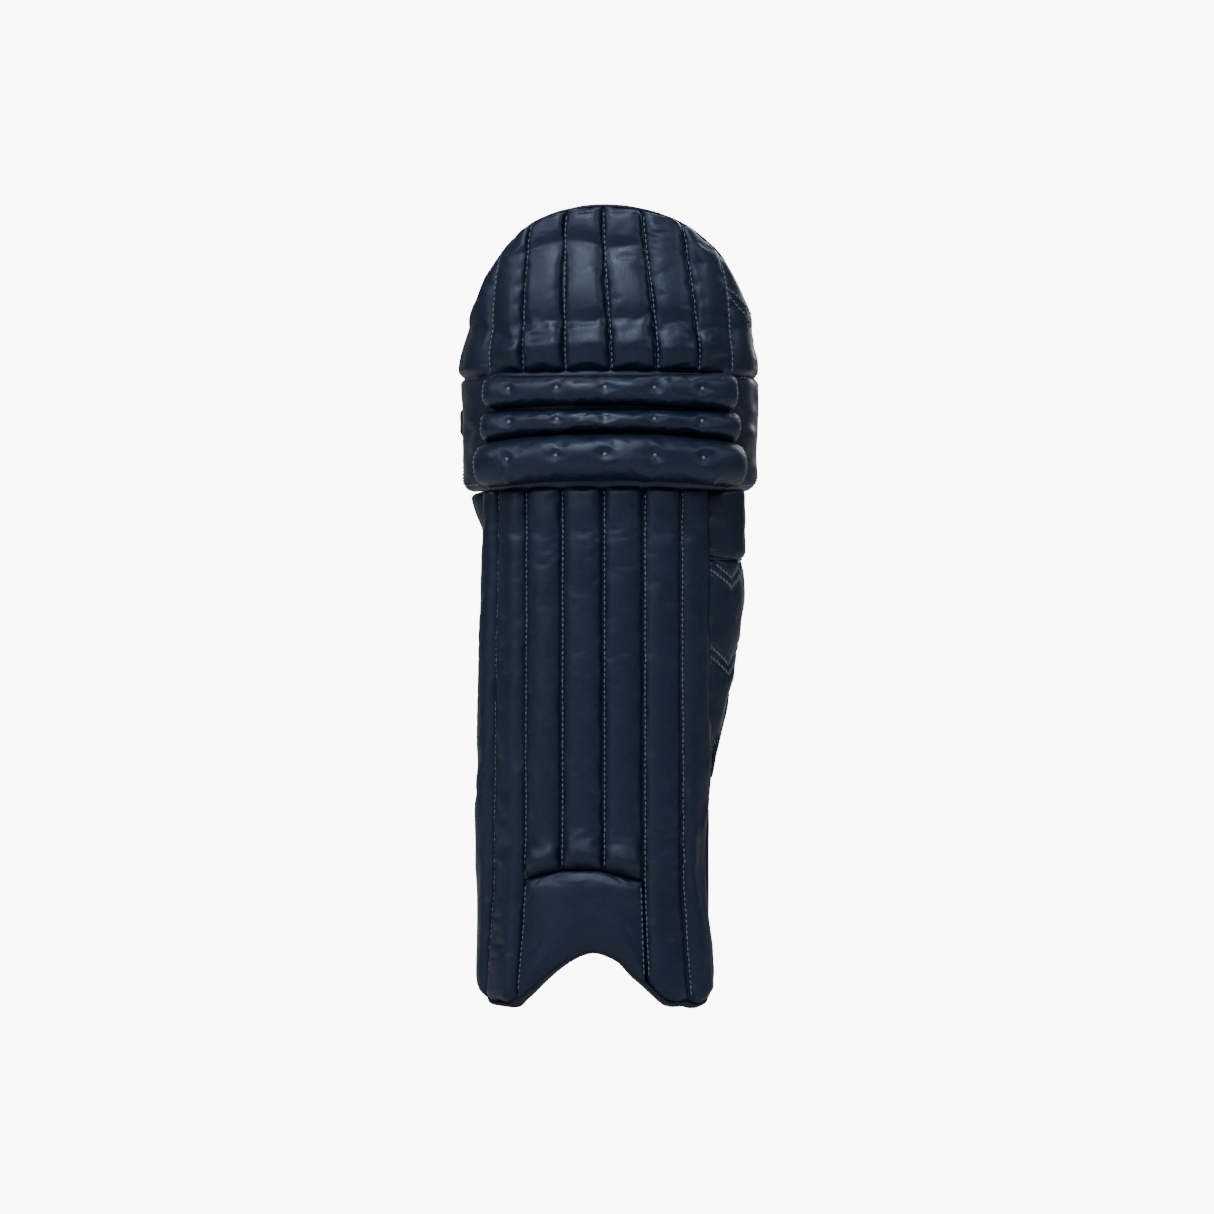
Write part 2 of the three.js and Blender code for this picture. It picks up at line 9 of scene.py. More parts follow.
import bpy
import numpy as np
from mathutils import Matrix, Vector
from mathutils.bvhtree import BVHTree
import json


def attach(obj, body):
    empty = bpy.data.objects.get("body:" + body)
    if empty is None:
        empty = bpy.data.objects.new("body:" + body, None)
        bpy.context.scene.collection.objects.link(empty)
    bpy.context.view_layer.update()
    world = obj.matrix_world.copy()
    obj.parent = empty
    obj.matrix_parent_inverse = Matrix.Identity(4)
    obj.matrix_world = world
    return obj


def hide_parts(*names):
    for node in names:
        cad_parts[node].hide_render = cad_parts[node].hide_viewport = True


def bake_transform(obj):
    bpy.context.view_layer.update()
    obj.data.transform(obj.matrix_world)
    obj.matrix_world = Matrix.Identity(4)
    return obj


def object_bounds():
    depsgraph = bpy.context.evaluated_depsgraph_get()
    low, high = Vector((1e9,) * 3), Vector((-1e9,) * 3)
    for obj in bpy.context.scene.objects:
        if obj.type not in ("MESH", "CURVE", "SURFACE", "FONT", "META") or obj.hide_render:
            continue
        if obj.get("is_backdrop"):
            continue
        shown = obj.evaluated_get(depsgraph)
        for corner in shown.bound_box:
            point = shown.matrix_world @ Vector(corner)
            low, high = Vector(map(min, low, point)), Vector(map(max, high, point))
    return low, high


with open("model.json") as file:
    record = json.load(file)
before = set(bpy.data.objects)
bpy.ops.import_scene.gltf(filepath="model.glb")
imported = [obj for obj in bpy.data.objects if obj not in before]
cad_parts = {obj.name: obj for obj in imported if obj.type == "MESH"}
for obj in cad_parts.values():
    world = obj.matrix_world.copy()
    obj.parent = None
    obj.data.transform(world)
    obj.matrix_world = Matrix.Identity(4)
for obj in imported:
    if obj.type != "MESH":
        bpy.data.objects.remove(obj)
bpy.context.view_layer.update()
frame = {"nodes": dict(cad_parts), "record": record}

MM = 0.001
LEG = np.array(frame["record"]["physics"]["openings"][0]["box_m"]) / MM  # the room for the leg
AXIS = (LEG[0, :2] + LEG[1, :2]) / 2
FAR = 400.0  # rays towards the leg's axis start this far from it
SHORT = 20.0  # and those that look for an outline end this far short of it
FRONT_LIFT = 0.5  # the foam's face lies this far inside the stitching surface


# ---- Reading the frame ----
def vertices(node):
    return np.array([v.co for v in frame["nodes"][node].data.vertices], float) / MM


@functools.cache
def tree_of(obj):
    """A tree for rays against a CAD node or a finished piece."""
    mesh = obj.data
    points = [Vector(v.co) / MM for v in mesh.vertices]
    return BVHTree.FromPolygons(points, [tuple(p.vertices) for p in mesh.polygons])


def inward(a, z):
    """Where a level ray towards the leg's axis starts, and its direction."""
    out = Vector((math.sin(a), -math.cos(a), 0))
    return Vector((AXIS[0], AXIS[1], z)) + out * FAR, -out


def angle_of(points, start=-math.pi):
    a = np.arctan2(points[..., 0] - AXIS[0], AXIS[1] - points[..., 1])
    return (a - start) % (2 * math.pi) + start


class Shell:
    """A smooth surface round the leg, read from the outer faces of CAD nodes.

    s is the distance along it at mid height, and is 0 in front.
    """

    COLUMNS, ROWS = 150, 64
    INSET = (0.012, 0.5)  # the first and last rays stay this far inside the nodes' edges, in radians and mm
    BLUR = (2.5, 1.6)  # in columns and rows
    EXTRA = 60  # columns past each end
    SLOPE_SPAN = 6  # which carry on at the slope of this many columns

    def __init__(self, nodes, lift=0.0, start=-math.pi):
        self.start = start
        corners = np.vstack([vertices(n) for n in nodes])
        angles = angle_of(corners, start)
        low, high = corners[:, 2].min(), corners[:, 2].max()
        first, last = angles.min(), angles.max()
        self.a = np.linspace(first + self.INSET[0], last - self.INSET[0], self.COLUMNS)
        self.z = np.linspace(low + self.INSET[1], high - self.INSET[1], self.ROWS)
        trees = [tree_of(frame["nodes"][n]) for n in nodes]
        self.r = np.full((len(self.a), len(self.z)), np.nan)
        for i, a in enumerate(self.a):
            for j, z in enumerate(self.z):
                hits = [t.ray_cast(*inward(a, z))[3] for t in trees]
                hits = [h for h in hits if h is not None and h < FAR]
                if hits:
                    self.r[i, j] = FAR - min(hits) + lift
            self.r[i] = filled(self.z, self.r[i])
        self.r = np.apply_along_axis(soften, 0, self.r, self.BLUR[0])
        self.r = np.apply_along_axis(soften, 1, self.r, self.BLUR[1])
        self.extend()
        ring = self._polar(self.a, (low + high) / 2)
        steps = np.linalg.norm(np.diff(ring, axis=0), axis=1)
        self.along = np.concatenate([[0], np.cumsum(steps)])
        self.along -= np.interp(0.0 if first < 0 < last else first, self.a, self.along)

    def extend(self):
        """Carries the surface on past its ends, along its own curve."""
        step, span = self.a[1] - self.a[0], self.SLOPE_SPAN
        k = np.arange(1, self.EXTRA + 1)
        before = self.r[0] + (self.r[0] - self.r[span]) / span * k[::-1, None]
        after = self.r[-1] + (self.r[-1] - self.r[-1 - span]) / span * k[:, None]
        self.r = np.vstack([before, self.r, after])
        self.a = np.concatenate([self.a[0] - step * k[::-1], self.a, self.a[-1] + step * k])

    def _radius(self, a, z):
        i = np.clip((a - self.a[0]) / (self.a[1] - self.a[0]), 0, len(self.a) - 1.001)
        j = (z - self.z[0]) / (self.z[1] - self.z[0])
        i0 = i.astype(int)
        j0 = np.clip(j.astype(int), 0, len(self.z) - 2)
        u, v = i - i0, np.clip(j - j0, -0.5, 1.5)
        r = self.r
        return ((r[i0, j0] * (1 - u) + r[i0 + 1, j0] * u) * (1 - v)
                + (r[i0, j0 + 1] * (1 - u) + r[i0 + 1, j0 + 1] * u) * v)

    def _polar(self, a, z):
        a, z = np.broadcast_arrays(np.asarray(a, float), np.asarray(z, float))
        r = self._radius(a, z)
        return np.stack([AXIS[0] + r * np.sin(a), AXIS[1] - r * np.cos(a), z], -1)

    def s_of(self, points):
        return np.interp(angle_of(points, self.start), self.a, self.along)

    def at(self, s, z, off=0.0):
        s, z, off = np.broadcast_arrays(*(np.asarray(v, float) for v in (s, z, off)))
        p = self._polar(np.interp(s, self.along, self.a), z)
        return p + self.normal(s, z) * off[..., None]

    def normal(self, s, z):
        a = np.interp(s, self.along, self.a)
        across = self._polar(a + 0.02, z) - self._polar(a - 0.02, z)
        up = self._polar(a, z + 2) - self._polar(a, z - 2)
        return unit(np.cross(across, up))

    def height(self, points):
        """How far points stand off the surface, measured towards the leg's axis."""
        r = np.hypot(points[..., 0] - AXIS[0], points[..., 1] - AXIS[1])
        return r - self._radius(angle_of(points, self.start), points[..., 2])

    def outline(self, node, blur=3.0):
        """(s, lowest z, highest z) along the outer face of a CAD node, with the facets rounded off."""
        v = vertices(node)
        tree = tree_of(frame["nodes"][node])
        bottom, top = v[:, 2].min(), v[:, 2].max()
        s_all = self.s_of(v)

        def hit(a, z):
            return tree.ray_cast(*inward(a, z), FAR - SHORT)[0] is not None

        def edge(a, inside, outside):
            for _ in range(9):  # halvings of the gap between a ray that hits and one that misses
                middle = (inside + outside) / 2
                inside, outside = (middle, outside) if hit(a, middle) else (inside, middle)
            return inside

        rows = []
        for s in np.linspace(s_all.min(), s_all.max(), 260):
            a = np.interp(s, self.along, self.a)
            seen = [z for z in np.linspace(bottom + 0.2, top - 0.2, 24) if hit(a, z)]
            if seen:
                rows.append((s, edge(a, seen[0], bottom - 0.5), edge(a, seen[-1], top + 0.5)))
        s, low, high = np.array(rows).T
        fine = np.linspace(s[0], s[-1], 400)
        sigma = blur / (fine[1] - fine[0])
        return fine, soften(np.interp(fine, s, low), sigma), soften(np.interp(fine, s, high), sigma)


def filled(z, r):
    """r with its gaps carried on straight from the nearest known values."""
    known = np.flatnonzero(~np.isnan(r))
    k0, k1 = known[0], known[-1]
    result = np.interp(z, z[known], r[known])
    span = min(8, len(known) - 1)
    if span:
        slope = (r[known[span]] - r[k0]) / (z[known[span]] - z[k0])
        result[:k0] = r[k0] + slope * (z[:k0] - z[k0])
        slope = (r[k1] - r[known[-1 - span]]) / (z[k1] - z[known[-1 - span]])
        result[k1 + 1:] = r[k1] + slope * (z[k1 + 1:] - z[k1])
    return result


def soften(values, sigma):
    """Values blurred along their length, with the ends kept."""
    n = int(3 * sigma) + 1
    kernel = np.exp(-0.5 * (np.arange(-n, n + 1) / max(sigma, 1e-6)) ** 2)
    padded = np.concatenate([2 * values[0] - values[n:0:-1], values, 2 * values[-1] - values[-2:-n - 2:-1]])
    return np.convolve(padded, kernel / kernel.sum(), "valid")


WAVES = 14


def ripple(x, y, seed, length):
    """Smooth seeded noise of about unit height, as a sum of waves roughly length long."""
    r = np.random.default_rng(seed)
    total = np.zeros(np.broadcast(x, y).shape)
    for _ in range(WAVES):
        turn, phase = r.uniform(0, 2 * math.pi, 2)
        k = 2 * math.pi / (length * r.uniform(0.6, 1.7))
        total += np.sin(k * (x * math.cos(turn) + y * math.sin(turn)) + phase)
    return total / math.sqrt(WAVES / 2)


def bell(x, centre, width, height=1.0):
    return height * np.exp(-(((x - centre) / width) ** 2))


def ramp(x, a, b):
    """0 up to a, 1 from b on, and a smooth rise between."""
    t = np.clip((x - a) / (b - a), 0, 1)
    return t * t * (3 - 2 * t)


def between(x, a, b, fade):
    """1 from a to b, fading to 0 over the given distance inside either end."""
    return ramp(x, a, a + fade) * (1 - ramp(x, b - fade, b))


def rounded_end(distance, reach):
    """0 at an edge, rising as a quarter circle to 1 at reach."""
    return np.sqrt(1 - (1 - np.clip(distance / reach, 0, 1)) ** 2)


# ---- Making meshes ----
def add(name, data):
    obj = bpy.data.objects.new(name, data)
    bpy.context.scene.collection.objects.link(obj)
    return obj


def mesh_object(name, points, faces):
    mesh = bpy.data.meshes.new(name)
    mesh.from_pydata((np.asarray(points) * MM).tolist(), [], faces)
    mesh.validate()
    mesh.polygons.foreach_set("use_smooth", [True] * len(mesh.polygons))
    mesh.update()
    return add(name, mesh)


def unit(v):
    return v / np.linalg.norm(v, axis=-1, keepdims=True)


def circle(sides):
    return np.arange(sides) * 2 * math.pi / sides


def grid_faces(index):
    a, b, c, d = index[:-1, :-1], index[1:, :-1], index[1:, 1:], index[:-1, 1:]
    return np.stack([a, b, c, d], -1).reshape(-1, 4)


def tube_faces(index):
    """The faces of a tube whose rings are the rows of index, with both its ends closed."""
    ring = np.concatenate([index, index[:, :1]], 1)
    return grid_faces(ring)[:, ::-1].tolist() + [index[0, ::-1].tolist(), index[-1].tolist()]


def upright(s, start, stop, step):
    """An upright line of (s, z) pairs."""
    return [(s, z) for z in np.arange(start, stop, step)]


def edge_spaced(start, stop, count, pull=0.75):
    """Values from start to stop that crowd towards both ends, more so the larger pull is."""
    t = np.linspace(0, 1, count)
    eased = 0.5 - 0.5 * np.cos(math.pi * t)
    return start + (stop - start) * (pull * eased + (1 - pull) * t)


class Panel:
    """A padded panel: a front and a back that meet round a rounded rim, as one closed mesh.

    front(s, z, d) and back(s, z, d) are heights over the shell, d being the distance from the border.
    middle is the height of the border, and the panel reaches its full thickness rim inside it.
    """

    def __init__(self, name, shell, columns, low, high, rows, front, back, middle, rim, warp=None):
        self.shell, self.columns = shell, columns
        self.low, self.high = np.asarray(low), np.asarray(high)
        share = edge_spaced(0, 1, rows, 0.6)
        s = np.repeat(columns[:, None], rows, 1)
        z = self.low[:, None] + share[None, :] * (self.high - self.low)[:, None]
        border = self.border()
        d = np.array([np.hypot(s_row[:, None] - border[:, 0], z_row[:, None] - border[:, 1]).min(1)
                      for s_row, z_row in zip(s, z)])
        lip = rounded_end(d, rim)
        place = s if warp is None else s + warp(s, z)
        middle = middle(s, z) if callable(middle) else middle
        out = shell.at(place, z, middle + (front(s, z, d) - middle) * lip)
        inside = shell.at(place, z, middle + (back(s, z, d) - middle) * lip)
        self.s, self.z = s, z
        index = np.arange(s.size).reshape(s.shape)
        behind = index.copy()
        inner = behind[1:-1, 1:-1]
        inner[:] = s.size + np.arange(inner.size).reshape(inner.shape)
        points = np.vstack([out.reshape(-1, 3), inside[1:-1, 1:-1].reshape(-1, 3)])
        faces = np.vstack([grid_faces(index), grid_faces(behind)[:, ::-1]])
        self.obj = mesh_object(name, points, faces.tolist())
        self.front_faces = (s.shape[0] - 1) * (rows - 1)
        self.front_index = index

    def border(self, step=2.5):
        c, lo, hi = self.columns, self.low, self.high
        points = upright(c[0], lo[0], hi[0], step) + upright(c[-1], lo[-1], hi[-1], step)
        for line in (np.stack([c, lo], 1), np.stack([c, hi], 1)):
            points += list(line)
            for p, q in zip(line[:-1], line[1:]):
                n = max(1, int(np.hypot(*(q - p)) / step))
                points += [p + (q - p) * k / n for k in range(n)]
        return np.array(points)


def signed_power(values, power):
    return np.sign(values) * np.abs(values) ** power


TUBE_SIDES = 12


def tape(name, shell, path, half_width, half_depth, off):
    """A rounded edge tape along a path of (s, z) pairs. half_width is measured along the shell's normal."""
    centre = shell.at(*path.T, off)
    along = unit(np.gradient(centre, axis=0))
    side = unit(np.cross(along, shell.normal(*path.T)))
    up = np.cross(side, along)
    turn = circle(TUBE_SIDES)
    across = signed_power(np.cos(turn), 0.75) * half_width
    deep = signed_power(np.sin(turn), 0.75) * half_depth
    rings = centre[:, None] + up[:, None] * across[None, :, None] + side[:, None] * deep[None, :, None]
    index = np.arange(len(centre) * TUBE_SIDES).reshape(-1, TUBE_SIDES)
    return mesh_object(name, rings.reshape(-1, 3), tube_faces(index))


def walked(path):
    """How far along a path each of its points is."""
    return np.concatenate([[0], np.cumsum(np.hypot(*np.diff(path, axis=0).T))])


def even(path, step=2.5):
    """The same path with its points evenly spaced."""
    path = np.asarray(path, float)
    flat = walked(path)
    t = np.linspace(0, flat[-1], int(flat[-1] / step) + 1)
    return np.stack([np.interp(t, flat, line) for line in path.T], 1)


def distance_to(path, s, z):
    """The distance of each (s, z) from a path."""
    nearest = np.full(np.shape(s), np.inf)
    for (s0, z0), (s1, z1) in zip(path[:-1], path[1:]):
        ds, dz = s1 - s0, z1 - z0
        t = np.clip(((s - s0) * ds + (z - z0) * dz) / (ds * ds + dz * dz), 0, 1)
        nearest = np.minimum(nearest, np.hypot(s - s0 - t * ds, z - z0 - t * dz))
    return nearest


# ---- Stitching ----
STITCH = 4.0  # length of one stitch
STITCH_GAP = 0.7
STITCH_SIDE = 1.5  # stitches run this far beside each crease
WANDER = 0.15  # and stray this far from their line
THREAD = 0.55  # radius of the thread
THREAD_SIDES = 6
THREAD_PROFILE = np.array([0.35, 0.9, 1.0, 0.9, 0.35])  # its radius along a stitch, over the full radius
THREAD_ARCH = np.array([-0.5, 0.35, 0.75, 0.35, -0.5])  # and its height over the leather
REACH = 40.0  # the leather is looked for this far to either side of the shell
threads = {}  # body or bodies: the runs of stitches that move with them


def land(tree, points, normals):
    """Where points fall on a finished piece, going inwards along the normals."""
    result = []
    for p, n in zip(points, normals):
        hit = tree.ray_cast(Vector(p + n * REACH), Vector(-n), REACH * 2)[0]
        result.append(np.array(hit) if hit is not None else p)
    return np.array(result)


def stitch(body, piece, path, length=STITCH, gap=STITCH_GAP):
    """A run of stitches along a path of (s, z) pairs, lying on a finished panel or roll."""
    path = np.asarray(path, float)
    flat = walked(path)
    count = max(1, int(flat[-1] / (length + gap)))
    wobble = np.random.default_rng(len(threads) + count).normal(0, WANDER, (3, count))
    centre = (np.arange(count) + 0.5) * flat[-1] / count
    marks = []
    for side, shift in zip((-0.5, 0.0, 0.5), wobble):
        t = centre + side * length
        s, z = (np.interp(t, flat, line) for line in path.T)
        normal = piece.shell.normal(s + shift, z)
        marks.append(land(tree_of(piece.obj), piece.shell.at(s + shift, z), normal))
    threads.setdefault(body, []).append((*marks, normal))


def sew(body):
    """All of a body's stitches as one mesh of short arched threads."""
    turn = circle(THREAD_SIDES)
    radius, lift = THREAD_PROFILE * THREAD, THREAD_ARCH * THREAD
    points, count = [], 0
    for a, middle, b, normal in threads[body]:
        along = unit(b - a)
        side = unit(np.cross(along, normal))
        up = np.cross(side, along)
        line = np.stack([a, a + (middle - a) * 0.4, middle, middle + (b - middle) * 0.6, b], 1)
        centre = line + up[:, None] * lift[None, :, None]
        round_up = up[:, None, None] * (np.cos(turn) * radius[:, None])[None, :, :, None]
        round_side = side[:, None, None] * (np.sin(turn) * radius[:, None])[None, :, :, None]
        points.append((centre[:, :, None] + round_up + round_side).reshape(-1, 3))
        count += len(a)
    index = np.arange(count * len(radius) * THREAD_SIDES).reshape(count, len(radius), THREAD_SIDES)
    faces = [face for thread in index for face in tube_faces(thread)]
    label = body if isinstance(body, str) else f"{body[0]}_{body[1]}"
    return mesh_object(f"stitching_{label}", np.vstack(points), faces)


# ---- Cloth ----
CLOTH_FRAMES = 12
CLOTH = {"quality": 5, "mass": 0.2, "tension_stiffness": 25, "compression_stiffness": 25,
         "shear_stiffness": 15, "bending_stiffness": 0.5, "vertex_group_mass": "pinned", "use_pressure": True}


def inflate(obj, pinned, pressure, grow, cap):
    """The leather settles as cloth over its padding: pinned points stay, and the rest fills out and puckers.

    grow is how much larger the leather is than its padding, and cap is the most that it may move, in mm.
    """
    rest = np.array([v.co for v in obj.data.vertices])
    group = obj.vertex_groups.new(name="pinned")
    group.add([int(i) for i in pinned], 1.0, "REPLACE")
    cloth = obj.modifiers.new("settle", "CLOTH")
    settings = cloth.settings
    for key, value in CLOTH.items():
        setattr(settings, key, value)
    settings.uniform_pressure_force = pressure
    settings.shrink_min = -grow
    settings.effector_weights.gravity = 0
    cloth.collision_settings.use_collision = False
    cloth.point_cache.frame_start = 1
    cloth.point_cache.frame_end = CLOTH_FRAMES
    for f in range(1, CLOTH_FRAMES + 1):
        bpy.context.scene.frame_set(f)
    evaluated = obj.evaluated_get(bpy.context.evaluated_depsgraph_get())
    moved = np.array([v.co for v in evaluated.data.vertices])
    obj.modifiers.remove(cloth)
    obj.vertex_groups.clear()
    bpy.context.scene.frame_set(1)
    shift = (moved - rest) / MM
    length = np.linalg.norm(shift, axis=1, keepdims=True)
    print(f"{obj.name}: cloth moved {length.mean():.2f} mm on average, {length.max():.2f} mm at most")
    shift *= cap * np.tanh(length / cap) / np.maximum(length, 1e-6)
    obj.data.vertices.foreach_set("co", (rest + shift * MM).astype(np.float32).ravel())
    obj.data.update()


def settle(panel, held=None, **cloth):
    """A panel's border, its back and whatever else is held stay put while its front settles."""
    border = np.zeros(panel.s.shape, bool) if held is None else held.copy()
    border[[0, 1, -2, -1]] = True
    border[:, [0, 1, -2, -1]] = True
    behind = np.arange(panel.s.size, len(panel.obj.data.vertices))
    inflate(panel.obj, np.concatenate([panel.front_index[border], behind]), **cloth)


# ---- Materials ----
def feed(n, **sockets):
    """Gives a node's sockets their values, or the output that each is linked to."""
    for key, source in sockets.items():
        socket = n.inputs[key.replace("_", " ")]
        if isinstance(source, bpy.types.NodeSocket):
            n.id_data.links.new(source, socket)
        else:
            socket.default_value = source
    return n.outputs


def material(name):
    """A new node material, as the handful of functions that build it."""
    m = bpy.data.materials.new(name)
    m.use_nodes = True
    nodes = m.node_tree.nodes
    place = nodes.new("ShaderNodeTexCoord").outputs["Object"]

    def noise(scale, detail=3.0, rough=0.5):
        n = nodes.new("ShaderNodeTexNoise")
        return feed(n, Scale=scale, Detail=detail, Roughness=rough, Vector=place)["Fac"]

    def cells(scale):
        return feed(nodes.new("ShaderNodeTexVoronoi"), Scale=scale, Vector=place)["Distance"]

    def spread(source, low, high):
        n = nodes.new("ShaderNodeMapRange")
        return feed(n, From_Min=0.3, From_Max=0.7, To_Min=low, To_Max=high, Value=source)["Result"]

    def mix(source, first, second):
        n = nodes.new("ShaderNodeMix")
        n.data_type = "RGBA"
        return feed(n, A=(*first, 1), B=(*second, 1), Factor=source)["Result"]

    def bump(source, strength, distance, before=None):
        n = nodes.new("ShaderNodeBump")
        feed(n, Strength=strength, Distance=distance * MM, Height=source)
        return (feed(n, Normal=before) if before is not None else n.outputs)["Normal"]

    def finish(**sockets):
        feed(nodes["Principled BSDF"], **sockets)
        return m

    return noise, cells, spread, mix, bump, finish


def leather(name, dark, light, rough):
    """Grained leather with a cool sheen."""
    noise, cells, spread, mix, bump, finish = material(name)
    pores = bump(cells(950), 0.3, 0.18)
    normal = bump(noise(170, 4, 0.6), 0.22, 0.5, pores)
    roughness = spread(noise(60, 3), rough - 0.05, rough + 0.07)
    return finish(Base_Color=mix(spread(noise(18, 4), 0, 1), dark, light), Normal=normal, Roughness=roughness,
                  Specular_IOR_Level=0.42, Specular_Tint=(0.62, 0.74, 1.0, 1))


def woven(name, dark, light, weave, height=0.4):
    """Cloth with so many threads to the metre, whose weave stands so high."""
    noise, cells, spread, mix, bump, finish = material(name)
    normal = bump(cells(weave), 0.7, height, bump(noise(90, 4), 0.3, 0.8))
    return finish(Base_Color=mix(spread(noise(weave * 0.5, 2), 0, 1), dark, light), Normal=normal,
                  Roughness=0.9, Sheen_Weight=0.1, Specular_IOR_Level=0.25)


FINISH = {
    "pad_leather": leather("navy_leather", (0.0026, 0.0062, 0.0170), (0.0042, 0.0092, 0.0235), 0.41),
    "binding_leather": leather("navy_binding", (0.0022, 0.0048, 0.0118), (0.0036, 0.0070, 0.0160), 0.48),
    "stitching": woven("thread", (0.078, 0.100, 0.132), (0.130, 0.158, 0.195), 2600, 0.15),
    "lining_fabric": woven("lining", (0.020, 0.026, 0.040), (0.034, 0.042, 0.060), 900),
    "webbing": woven("webbing", (0.012, 0.017, 0.029), (0.022, 0.029, 0.045), 700),
    "hook_and_loop": woven("hook_and_loop", (0.003, 0.004, 0.006), (0.009, 0.010, 0.013), 1300, 1.0),
}


def dress(piece, slot_name, body, *stands_for, back=None):
    """Gives a piece its look, hides the CAD nodes it stands for and hangs it on its body; a piece across two
    bodies is left in place.
    """
    obj = piece.obj if isinstance(piece, Panel) else piece
    obj.data.materials.append(FINISH[slot_name])
    if back is not None:
        obj.data.materials.append(FINISH[back])
        which = np.zeros(len(obj.data.polygons), np.int32)
        which[piece.front_faces:] = 1
        obj.data.polygons.foreach_set("material_index", which)
    if stands_for:
        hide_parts(*stands_for)
    if isinstance(body, str):
        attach(obj, body)
    else:
        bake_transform(obj)


def dress_skin(panel, body, part, *more):
    """Leather in front and cloth behind, for a part's cover, foam and lining."""
    layers = [f"{part}_{layer}" for layer in ("cover", "foam", "lining")]
    dress(panel, "pad_leather", body, *layers, *more, back="lining_fabric")


def bind(name, shell, path, half_width, half_depth, off, body, *stands_for):
    dress(tape(name, shell, path, half_width, half_depth, off), "binding_leather", body, *stands_for)


# ---- The surfaces the pieces lie on ----
shin = Shell(["shin_foam"], FRONT_LIFT)
upper = Shell(["knee_foam", "hat_foam"], FRONT_LIFT)
HINGES = {j["name"]: np.array(j["pos_m"]) / MM for j in frame["record"]["behaviour"]["joints"]}


def across_hinge(a, b, hinge, before, after):
    """Leather that crosses a level hinge line: its two bodies, and points so far below the line and so far
    above it.
    """
    x, y, z = HINGES[hinge]
    return a, b, (x * MM, y * MM, (z - before) * MM), (x * MM, y * MM, (z + after) * MM)


KNEE_SKIN = across_hinge("shin", "knee", "knee_flex", before=0, after=42)
HAT_SKIN = across_hinge("knee", "top_hat", "top_hat_flex", before=0, after=46)


def seams_between(shell, nodes):
    """Distances along the shell of the lines midway between neighbouring canes."""
    spans = []
    for n in nodes:
        s = shell.s_of(vertices(n))
        spans.append((s.min(), s.max()))
    return [(a[1] + b[0]) / 2 for a, b in zip(spans[:-1], spans[1:])]


def channel_columns(edges, per_channel=16):
    """Columns that crowd towards each seam, so that it stays a crisp crease."""
    columns = [edge_spaced(a, b, per_channel, 0.85)[:-1] for a, b in zip(edges[:-1], edges[1:])]
    return np.concatenate(columns + [[edges[-1]]])


def channel(s, edges, sharp=3.0, fall=0.62):
    """(height, number, share): from 0 at a seam to 1, which channel it is, and how far across it."""
    edges = np.asarray(edges)
    k = np.clip(np.searchsorted(edges, s, "right") - 1, 0, len(edges) - 2)
    u = (s - edges[k]) / (edges[k + 1] - edges[k])
    return (1 - np.abs(2 * np.clip(u, 0, 1) - 1) ** sharp) ** fall, k, u


def on_seams(panel, seams):
    return np.abs(panel.s[..., None] - np.asarray(seams)).min(-1) < 0.02


def level(value):
    return lambda s, z, d: np.full(s.shape, float(value))


LINING = -13.4  # height of the lining over the shell
SEWN_IN = (0, 4.5, 2.0)  # and how it is drawn in at a seam


def quilted_lining(seams):
    """The back of a panel, drawn in where its seams are sewn through."""
    seams = np.asarray(seams)

    def height(s, z, d):
        nearest = np.abs(s[..., None] - seams).min(-1)
        return LINING + bell(nearest, *SEWN_IN) + 0.4 * ripple(s, z, 5, 60)

    return height


def puckers(u, reach=7):
    """1 at the seams of a channel, falling off towards its middle."""
    return np.exp(-np.minimum(u, 1 - u) * reach)


# ---- Shin ----
# Bulges and tucks are given as (place, width, height), for bell.
CANES = [f"shin_cane_{k}" for k in range(1, 8)]
SHIN_RISE = 8.5  # how far the channels stand out
OVERLAP = 3.0  # neighbouring skins run this far past the hinge line between them
SHIN_JOIN = HINGES["knee_flex"][2] + OVERLAP
ARCH = (-84, 72)  # the leather is trimmed back round the arch,
ARCH_LEFT = (-84, 22)  # and more so on the left of it
WAIST = (40, 218, 80)  # the edge beside the calf wing is drawn in between these heights
WAIST_DEPTH = 9.5
FOOT_REACH, HEAD_REACH = 13, 10  # the channels' ends are rounded over these distances
FOOT_BULGE, FOOT_TUCK = (13, 11, 4.2), (38, 10, 0.8)  # over the instep block, measured up from it
HEAD_BULGE, HEAD_TUCK = (24, 12, 1.0), (42, 7, 0.9)  # under the knee, measured down from it
LEFT_EDGE = (95, 120)  # the leather is fuller towards the left edge,
LEFT_FULL = 3.6
RIGHT_EDGE = (70, 95)  # and flatter beside the calf wing
BLOCK_HEIGHT = 7.2
BLOCK_GAP = 1.2  # between the instep block and the seams beside it
shin_s, shin_lows, _ = shin.outline("shin_foam")


def drift(s):
    """The seams spread towards the left, a little wider apart than the canes behind them."""
    return 0.5 - 0.067 * (63 - s)


shin_seams = [s + drift(s) for s in seams_between(shin, CANES)]
shin_edges = [shin_s[0], *shin_seams, shin_s[-1]]
instep_s, _, instep_highs = shin.outline("instep_cover")
instep_s = instep_s + drift(instep_s)
instep_left, instep_right = shin_seams[1], shin_seams[4]


def shin_low(s):
    """The lower edge of the leather."""
    trim = 2.6 * between(s, *ARCH, 12) + 4.6 * between(s, *ARCH_LEFT, 15)
    return np.interp(s, shin_s, shin_lows) + trim


def instep_top(s):
    return np.interp(s, instep_s, instep_highs)


def waist(s, z):
    return -WAIST_DEPTH * ramp(s, shin_seams[-1], shin_edges[-1]) * between(z, *WAIST)


